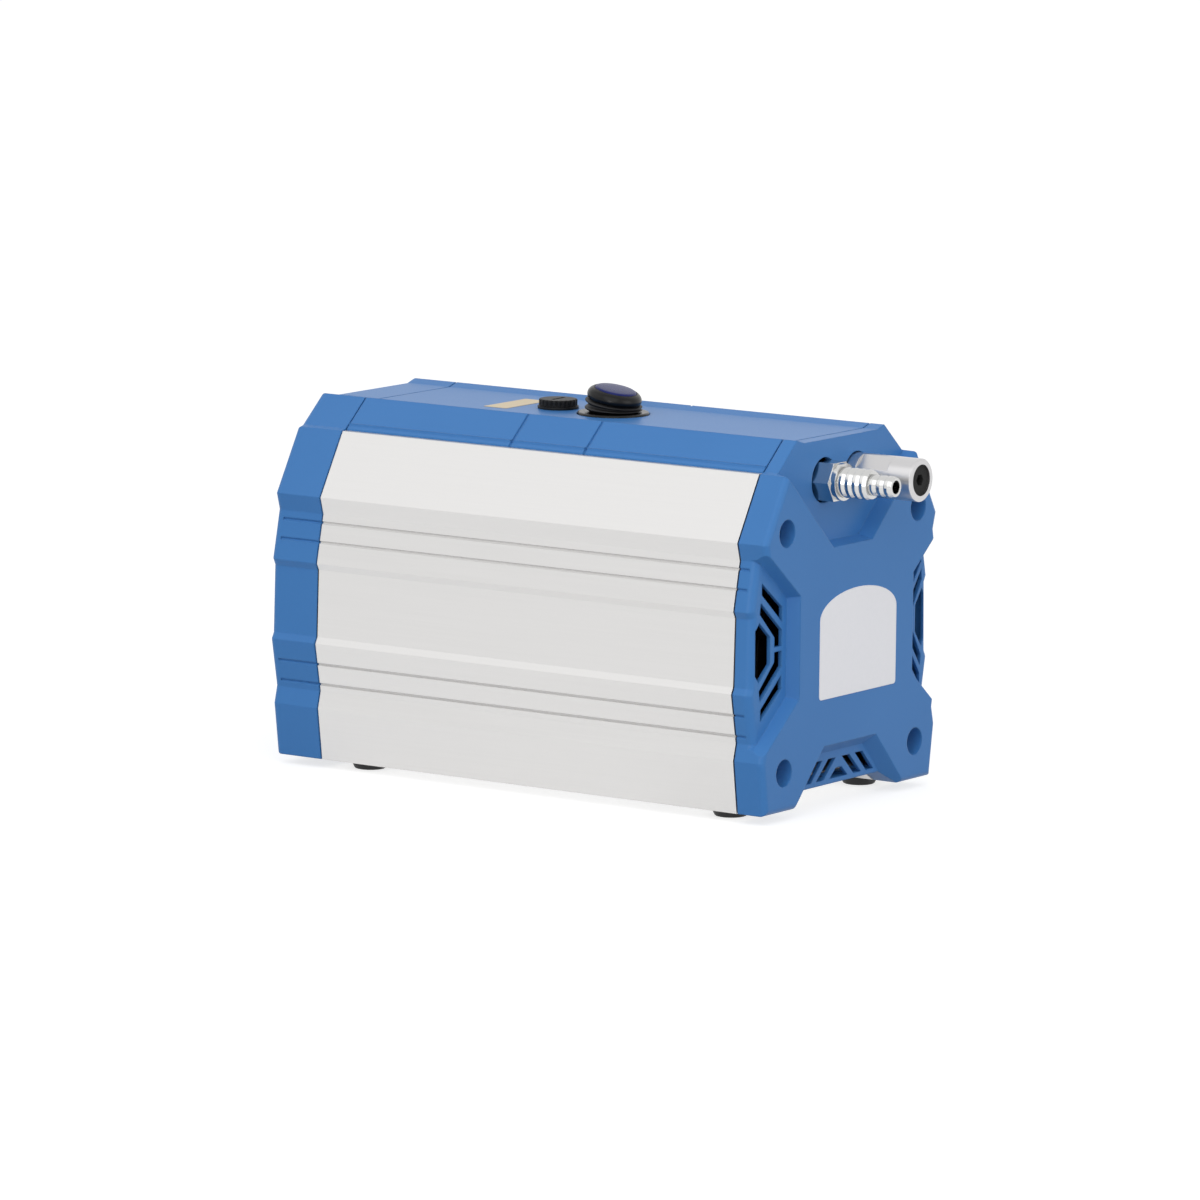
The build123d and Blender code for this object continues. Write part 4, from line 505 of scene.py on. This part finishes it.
print("bellows", len(bellows.data.vertices), "vertices")

# %% [markdown]
# ## The button
# The button and its lens are turned shapes, so each is half an outline spun round the button's
# own axis, and then tilted about the pivot. The rim is a soft roll, as moulded rockers have, and
# the lens has a bevel round a shallow dome. The heights start at the pivot, in millimetres.


# %% Button and lens
def between(p, q, r, s, t):
    """A smooth step of t from q to r, which takes its slopes from p and s."""
    bend = 2 * p - 5 * q + 4 * r - s
    swing = 3 * q - p - 3 * r + s
    return 0.5 * (2 * q + (r - p) * t + bend * t**2 + swing * t**3)


def flowing(points, steps=6):
    """A smooth line through the points. A point that is given twice keeps its corner."""
    ends = [points[0]] + points + [points[-1]]
    line = []
    for a, b, c, d in zip(ends, ends[1:], ends[2:], ends[3:]):
        for step in range(steps):
            t = step / steps
            line.append(tuple(between(p, q, r, s, t) for p, q, r, s in zip(a, b, c, d)))
    return line + [points[-1]]


def spun(name, outline, place, material, body, around=96):
    """A turned piece: an outline of (radius, height) in millimetres, spun round its axis."""
    mesh = bmesh.new()
    rows = [Vector((radius / 1000, 0, height / 1000)) for radius, height in outline]
    verts = [mesh.verts.new(row) for row in rows]
    edges = [mesh.edges.new(pair) for pair in zip(verts, verts[1:])]
    bmesh.ops.spin(
        mesh,
        geom=verts + edges,
        cent=(0, 0, 0),
        axis=(0, 0, 1),
        angle=math.tau,
        steps=around,
        use_merge=True,
    )
    bmesh.ops.remove_doubles(mesh, verts=mesh.verts, dist=0.000002)
    bmesh.ops.dissolve_degenerate(mesh, edges=mesh.edges, dist=0.000001)
    bmesh.ops.recalc_face_normals(mesh, faces=mesh.faces)
    data = bpy.data.meshes.new(name)
    mesh.to_mesh(data)
    mesh.free()
    data.transform(place)
    data.shade_smooth()
    data.materials.append(material)
    piece = bpy.data.objects.new(name, data)
    bpy.context.scene.collection.objects.link(piece)
    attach(piece, body)
    return piece


STEM = [(0, -2.4), (0, -2.4), (2.0, -2.4), (2.0, -2.4), (2.0, 1.0), (2.0, 1.0)]
RIM_SIDE = [(9.2, 1.0), (10.0, 1.3), (10.3, 2.3), (10.1, 3.3)]
RIM_TOP = [(9.5, 4.2), (8.7, 4.8), (8.1, 5.0), (8.1, 5.0)]
SEAT = [(8.0, 4.4), (8.0, 4.4), (0, 4.4), (0, 4.4)]
LENS_SIDE = [(0, 4.35), (0, 4.35), (7.9, 4.35), (7.9, 4.35), (7.9, 4.9)]
LENS_TOP = [(7.5, 5.35), (6.6, 5.6), (3.5, 5.8), (0, 5.85)]
on_pivot = Matrix.Translation(pivot) @ Matrix.Rotation(TILT, 4, "X")
button_outline = flowing(STEM + RIM_SIDE + RIM_TOP + SEAT)
button = spun("switch_button", button_outline, on_pivot, switch_black, "rocker")
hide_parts("switch_rocker")
button_lens = spun("button_lens", flowing(LENS_SIDE + LENS_TOP), on_pivot, lens, "rocker")
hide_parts("switch_lens")
print("button", len(button.data.vertices), "lens", len(button_lens.data.vertices), "vertices")

# %% [markdown]
# ## Copper end turns
# Where the coils leave the slots of the stator they are bent over into a ring and laced with
# waxed cord. One loop of wire is placed on every point of a circle and turned to face round it,
# with a small random twist, because wire is never laid quite evenly. A second, sparser circle of
# slightly larger loops is the lacing. Both ends of the motor get the same ring.


# %% Wound end turns
def ring_of_loops(tree, sizes, count, growth, wire, twist, material):
    """Loops of wire on the points of a circle, each facing round the ring."""
    circle = add(
        tree,
        "GeometryNodeMeshCircle",
        {},
        [(count, "Vertices"), (sizes["Ring radius"], "Radius")],
    )
    loop = add(tree, "GeometryNodeCurvePrimitiveCircle", {"Resolution": 24})
    tree.links.new(maths(tree, "ADD", sizes["Loop width"], growth), loop.inputs["Radius"])
    stretch = add(
        tree,
        "ShaderNodeCombineXYZ",
        {"X": 1.0, "Z": 1.0},
        [(maths(tree, "DIVIDE", sizes["Loop length"], sizes["Loop width"]), "Y")],
    )
    oval = add(
        tree,
        "GeometryNodeTransform",
        {},
        [(loop.outputs["Curve"], "Geometry"), (stretch.outputs[0], "Scale")],
    )
    section = add(tree, "GeometryNodeCurvePrimitiveCircle", {"Resolution": 8, "Radius": wire})
    strand = add(
        tree,
        "GeometryNodeCurveToMesh",
        {},
        [(oval.outputs[0], "Curve"), (section.outputs["Curve"], "Profile Curve")],
    )
    chance = add(tree, "FunctionNodeRandomValue", {"data_type": "FLOAT"})
    chance.inputs[2].default_value = -twist
    chance.inputs[3].default_value = twist
    tree.links.new(sizes["Seed"], chance.inputs["Seed"])
    number = add(tree, "GeometryNodeInputIndex", {})
    share = maths(tree, "DIVIDE", maths(tree, "MULTIPLY", number.outputs[0], math.tau), count)
    facing = add(
        tree,
        "ShaderNodeCombineXYZ",
        {"X": math.pi / 2},
        [(maths(tree, "ADD", share, chance.outputs[1]), "Z")],
    )
    placed = add(
        tree,
        "GeometryNodeInstanceOnPoints",
        {},
        [
            (circle.outputs["Mesh"], "Points"),
            (strand.outputs["Mesh"], "Instance"),
            (facing.outputs[0], "Rotation"),
        ],
    )
    real = add(tree, "GeometryNodeRealizeInstances", {}, [(placed.outputs[0], "Geometry")])
    smooth = add(tree, "GeometryNodeSetShadeSmooth", {}, [(real.outputs[0], "Geometry")])
    finished = add(
        tree,
        "GeometryNodeSetMaterial",
        {"Material": material},
        [(smooth.outputs[0], "Geometry")],
    )
    return finished.outputs[0]


wound_low, wound_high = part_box("windings")
core_low, core_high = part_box("stator_core")
END_LENGTH = core_low.y - wound_low.y
RING_DEPTH = 0.0086
LOOP_GAP = 0.0010
winding_inputs = {
    "Ring radius": (wound_high.x - wound_low.x - RING_DEPTH) / 2,
    "Loop width": RING_DEPTH / 2 - LOOP_GAP,
    "Loop length": END_LENGTH / 2 - LOOP_GAP,
    "Apart": wound_high.y - wound_low.y - END_LENGTH,
    "Turns": 96,
    "Laces": 24,
    "Seed": 5,
}
winding_group, given, end = node_group("end_turns", winding_inputs)
cord = mottled("Waxed_lacing_cord", "#B8A98A", "#CDBF9F", 0.0, 0.5, 0.7, 0.6, 0.03)
both_rings = add(winding_group, "GeometryNodeJoinGeometry", {})
lacing = ring_of_loops(winding_group, given, given["Laces"], 0.0006, 0.0003, 0.02, cord)
coils = add(winding_group, "GeometryNodeJoinGeometry", {}, [(lacing, 0)])
wires = ring_of_loops(winding_group, given, given["Turns"], 0.0, 0.0007, 0.10, copper)
winding_group.links.new(wires, coils.inputs[0])
for sign in (-0.5, 0.5):
    reach = add(
        winding_group,
        "ShaderNodeCombineXYZ",
        {},
        [(maths(winding_group, "MULTIPLY", given["Apart"], sign), "Z")],
    )
    shifted = add(
        winding_group,
        "GeometryNodeTransform",
        {},
        [(coils.outputs[0], "Geometry"), (reach.outputs[0], "Translation")],
    )
    winding_group.links.new(shifted.outputs[0], both_rings.inputs[0])
winding_group.links.new(both_rings.outputs[0], end.inputs[0])
end_turns = built("copper_end_turns", winding_group, winding_inputs)
centre_of_motor = (wound_low + wound_high) / 2
end_turns.data.transform(Matrix.Translation(centre_of_motor) @ Matrix.Rotation(math.pi / 2, 4, "X"))
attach(end_turns, "housing")
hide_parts("windings")
print("end turns", len(end_turns.data.polygons), "faces")

# %% [markdown]
# ## Labels
# Two labels are stuck on: a pale plate on the front, with an arched head, and a small cream one
# on the roof behind the fuse. A label is a film a tenth of a millimetre thick, so each is a
# closed outline that is given that thickness, with rounded corners. Both are left bare here.


# %% Printed film
def film(name, base, dark, gloss):
    """A label's film: almost flat, with a trace of paper fibre."""
    material, tree, shader, place = principled(name, base, {"Coat Weight": gloss, "Coat Roughness": 0.2})
    fibre = add(tree, "ShaderNodeTexNoise", {"Scale": repeats(1.5), "Detail": 4.0}, [(place, "Vector")])
    tinted(tree, shader, fibre.outputs["Fac"], dark, base)
    rough = spread(tree, fibre.outputs["Fac"], 0.38, 0.5)
    tree.links.new(rough, shader.inputs["Roughness"])
    relief(tree, shader, fibre.outputs["Fac"], 0.004)
    return material


def plate(name, outline, lift, thickness, material, body):
    """A thin closed plate from an outline of points, raised along a direction from its surface."""
    mesh = bmesh.new()
    ring = [mesh.verts.new(Vector(p)) for p in outline]
    face = mesh.faces.new(ring)
    raised = bmesh.ops.extrude_face_region(mesh, geom=[face])
    moved = [v for v in raised["geom"] if isinstance(v, bmesh.types.BMVert)]
    bmesh.ops.translate(mesh, vec=Vector(lift) * thickness, verts=moved)
    bmesh.ops.recalc_face_normals(mesh, faces=mesh.faces)
    data = bpy.data.meshes.new(name)
    mesh.to_mesh(data)
    mesh.free()
    data.materials.append(material)
    piece = bpy.data.objects.new(name, data)
    bpy.context.scene.collection.objects.link(piece)
    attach(piece, body)
    return piece


def rounded(points, radius, steps=6):
    """A closed 2-D outline with its corners rounded."""
    out = []
    for before, corner, after in zip(points[-1:] + points[:-1], points, points[1:] + points[:1]):
        corner = Vector(corner)
        start = corner + (Vector(before) - corner).normalized() * radius
        end = corner + (Vector(after) - corner).normalized() * radius
        for step in range(steps + 1):
            t = step / steps
            out.append((1 - t) ** 2 * start + 2 * t * (1 - t) * corner + t * t * end)
    return out


front_film = film("Pale_printed_film", "#FAFAFF", "#F4F5FA", 0.1)
cream_film = film("Cream_paper_label", "#DCC9A4", "#D2BE98", 0.05)

FILM = 0.00012
LABEL_MIDDLE, LABEL_HALF = 0.0042, 0.0257
LABEL_FOOT, LABEL_SHOULDER, LABEL_RISE = 0.0418, 0.0710, 0.0100
face_y = min(v.co.y for v in nodes["front_cover"].data.vertices)
LABEL_CORNER = 0.0014
CORNER_STEPS, ARCH_STEPS = 6, 24
outline = []
for step in range(CORNER_STEPS + 1):
    turn = math.radians(180 + 90 * step / CORNER_STEPS)
    outline.append(
        (
            LABEL_MIDDLE - LABEL_HALF + LABEL_CORNER * (1 + math.cos(turn)),
            LABEL_FOOT + LABEL_CORNER * (1 + math.sin(turn)),
        )
    )
outline += [(2 * LABEL_MIDDLE - x, z) for x, z in reversed(outline)]
for step in range(ARCH_STEPS + 1):
    turn = math.radians(180 * step / ARCH_STEPS)
    outline.append(
        (
            LABEL_MIDDLE + LABEL_HALF * math.cos(turn),
            LABEL_SHOULDER + LABEL_RISE * math.sin(turn),
        )
    )
front_label = plate(
    "front_label", [(x, face_y, z) for x, z in outline], (0, -1, 0), FILM, front_film, "housing"
)

ROOF_LABEL_WIDE, ROOF_LABEL_LONG, ROOF_LABEL_BACK = 0.0275, 0.0105, 0.0481
ROOF_LABEL_CORNER = 0.0006
FUSE_FLANGE = 0.001
roof_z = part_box("fuse_cap")[0].z - FUSE_FLANGE
label_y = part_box("roof_panel")[1].y - ROOF_LABEL_BACK
corners = [
    (side * ROOF_LABEL_WIDE / 2, label_y + end * ROOF_LABEL_LONG / 2)
    for side, end in ((-1, -1), (1, -1), (1, 1), (-1, 1))
]
roof_label = plate(
    "roof_label",
    [(p.x, p.y, roof_z) for p in rounded(corners, ROOF_LABEL_CORNER)],
    (0, 0, 1),
    FILM,
    cream_film,
    "housing",
)
print("labels", len(front_label.data.vertices), len(roof_label.data.vertices), "vertices")

# %% [markdown]
# ## Stage, light and camera
# The pump stands on a pale floor in a white room. The room fills every side with soft light. Of
# the four lamps, a large one from the upper left shapes the housing, one lifts the front, one
# brightens the roof from behind, and a low one lights the side. The camera has a long lens and
# stands well back, as for a catalogue picture, so parallel edges hardly converge.


# %% Studio
def seen_share(tree):
    """One for a ray from the camera, off a gloss or through glass, and none for lighting."""
    rays = add(tree, "ShaderNodeLightPath", {})
    seen = add(
        tree,
        "ShaderNodeMath",
        {"operation": "MAXIMUM"},
        [(rays.outputs["Is Camera Ray"], 0), (rays.outputs["Is Glossy Ray"], 1)],
    )
    seen = add(
        tree,
        "ShaderNodeMath",
        {"operation": "MAXIMUM"},
        [(seen.outputs[0], 0), (rays.outputs["Is Transmission Ray"], 1)],
    )
    return seen.outputs[0]


floor_mesh = bpy.data.meshes.new("floor")
SWEEP = 6.0
floor_mesh.from_pydata(
    [(-SWEEP, -SWEEP, 0), (SWEEP, -SWEEP, 0), (SWEEP, SWEEP, 0), (-SWEEP, SWEEP, 0)], [], [(0, 1, 2, 3)]
)
floor = bpy.data.objects.new("floor", floor_mesh)
bpy.context.scene.collection.objects.link(floor)
paper = bpy.data.materials.new("White_sweep")
paper.use_nodes = True
tree = paper.node_tree
shader = tree.nodes["Principled BSDF"]
shader.inputs["Base Color"].default_value = linear("#B4B4B4")
shader.inputs["Roughness"].default_value = 0.9
shader.inputs["Specular IOR Level"].default_value = 0.0
shader.inputs["Emission Color"].default_value = (1, 1, 1, 1)
FLOOR_GLOW = 0.72
glow = add(tree, "ShaderNodeMath", {"operation": "MULTIPLY", 1: FLOOR_GLOW}, [(seen_share(tree), 0)])
tree.links.new(glow.outputs[0], shader.inputs["Emission Strength"])
floor_mesh.materials.append(paper)

world = bpy.data.worlds.new("White_room")
bpy.context.scene.world = world
world.use_nodes = True
tree = world.node_tree
ROOM_LIGHT = 0.66
level = add(
    tree,
    "ShaderNodeMix",
    {"data_type": "FLOAT", 2: ROOM_LIGHT, 3: 1.0},
    [(seen_share(tree), 0)],
)
background = tree.nodes["Background"]
background.inputs["Color"].default_value = (1, 1, 1, 1)
tree.links.new(level.outputs[0], background.inputs["Strength"])


def soft_lamp(name, direction, distance, size, watts):
    """A square area lamp that looks at the pump's middle."""
    data = bpy.data.lights.new(name, "AREA")
    data.size = size
    data.energy = watts
    lamp = bpy.data.objects.new(name, data)
    bpy.context.scene.collection.objects.link(lamp)
    towards = Vector(direction).normalized()
    lamp.location = (cad_low + cad_high) / 2 + towards * distance
    lamp.rotation_euler = towards.to_track_quat("Z", "Y").to_euler()


LAMPS = {
    "key_lamp": ((-1.0, -0.45, 0.95), 1.4, 1.3, 4.6),
    "front_lamp": ((0.1, -1.0, 0.35), 1.6, 0.9, 3.0),
    "roof_lamp": ((-0.53, 0.56, 0.63), 1.4, 0.9, 0.8),
    "rim_lamp": ((-0.93, -0.3, 0.1), 1.3, 0.4, 1.6),
}
for name, (direction, distance, size, watts) in LAMPS.items():
    soft_lamp(name, direction, distance, size, watts)
print("lamps", ", ".join(LAMPS))

# %% Camera
AZIMUTH, ELEVATION, ROLL = map(math.radians, (-55.45, 8.76, 0.62))
DISTANCE, FOCAL_LENGTH = 3.065, 245.95
SIDEWAYS, UPWARDS = -0.01088, 0.06620
back = Vector(
    (
        math.sin(AZIMUTH) * math.cos(ELEVATION),
        -math.cos(AZIMUTH) * math.cos(ELEVATION),
        math.sin(ELEVATION),
    )
)
right = Vector((math.cos(AZIMUTH), math.sin(AZIMUTH), 0))
up = back.cross(right)
right, up = (
    math.cos(ROLL) * right + math.sin(ROLL) * up,
    math.cos(ROLL) * up - math.sin(ROLL) * right,
)
camera_data = bpy.data.cameras.new("camera")
camera_data.sensor_width = 36.0
camera_data.lens = FOCAL_LENGTH
camera_data.clip_end = 50.0
camera = bpy.data.objects.new("camera", camera_data)
bpy.context.scene.collection.objects.link(camera)
turn = Matrix((right, up, back)).transposed()
camera.matrix_world = Matrix.Translation(SIDEWAYS * right + UPWARDS * up + DISTANCE * back) @ turn.to_4x4()
bpy.context.scene.camera = camera
bpy.context.scene.view_settings.view_transform = "Standard"
print("camera at", [round(v, 3) for v in camera.location])
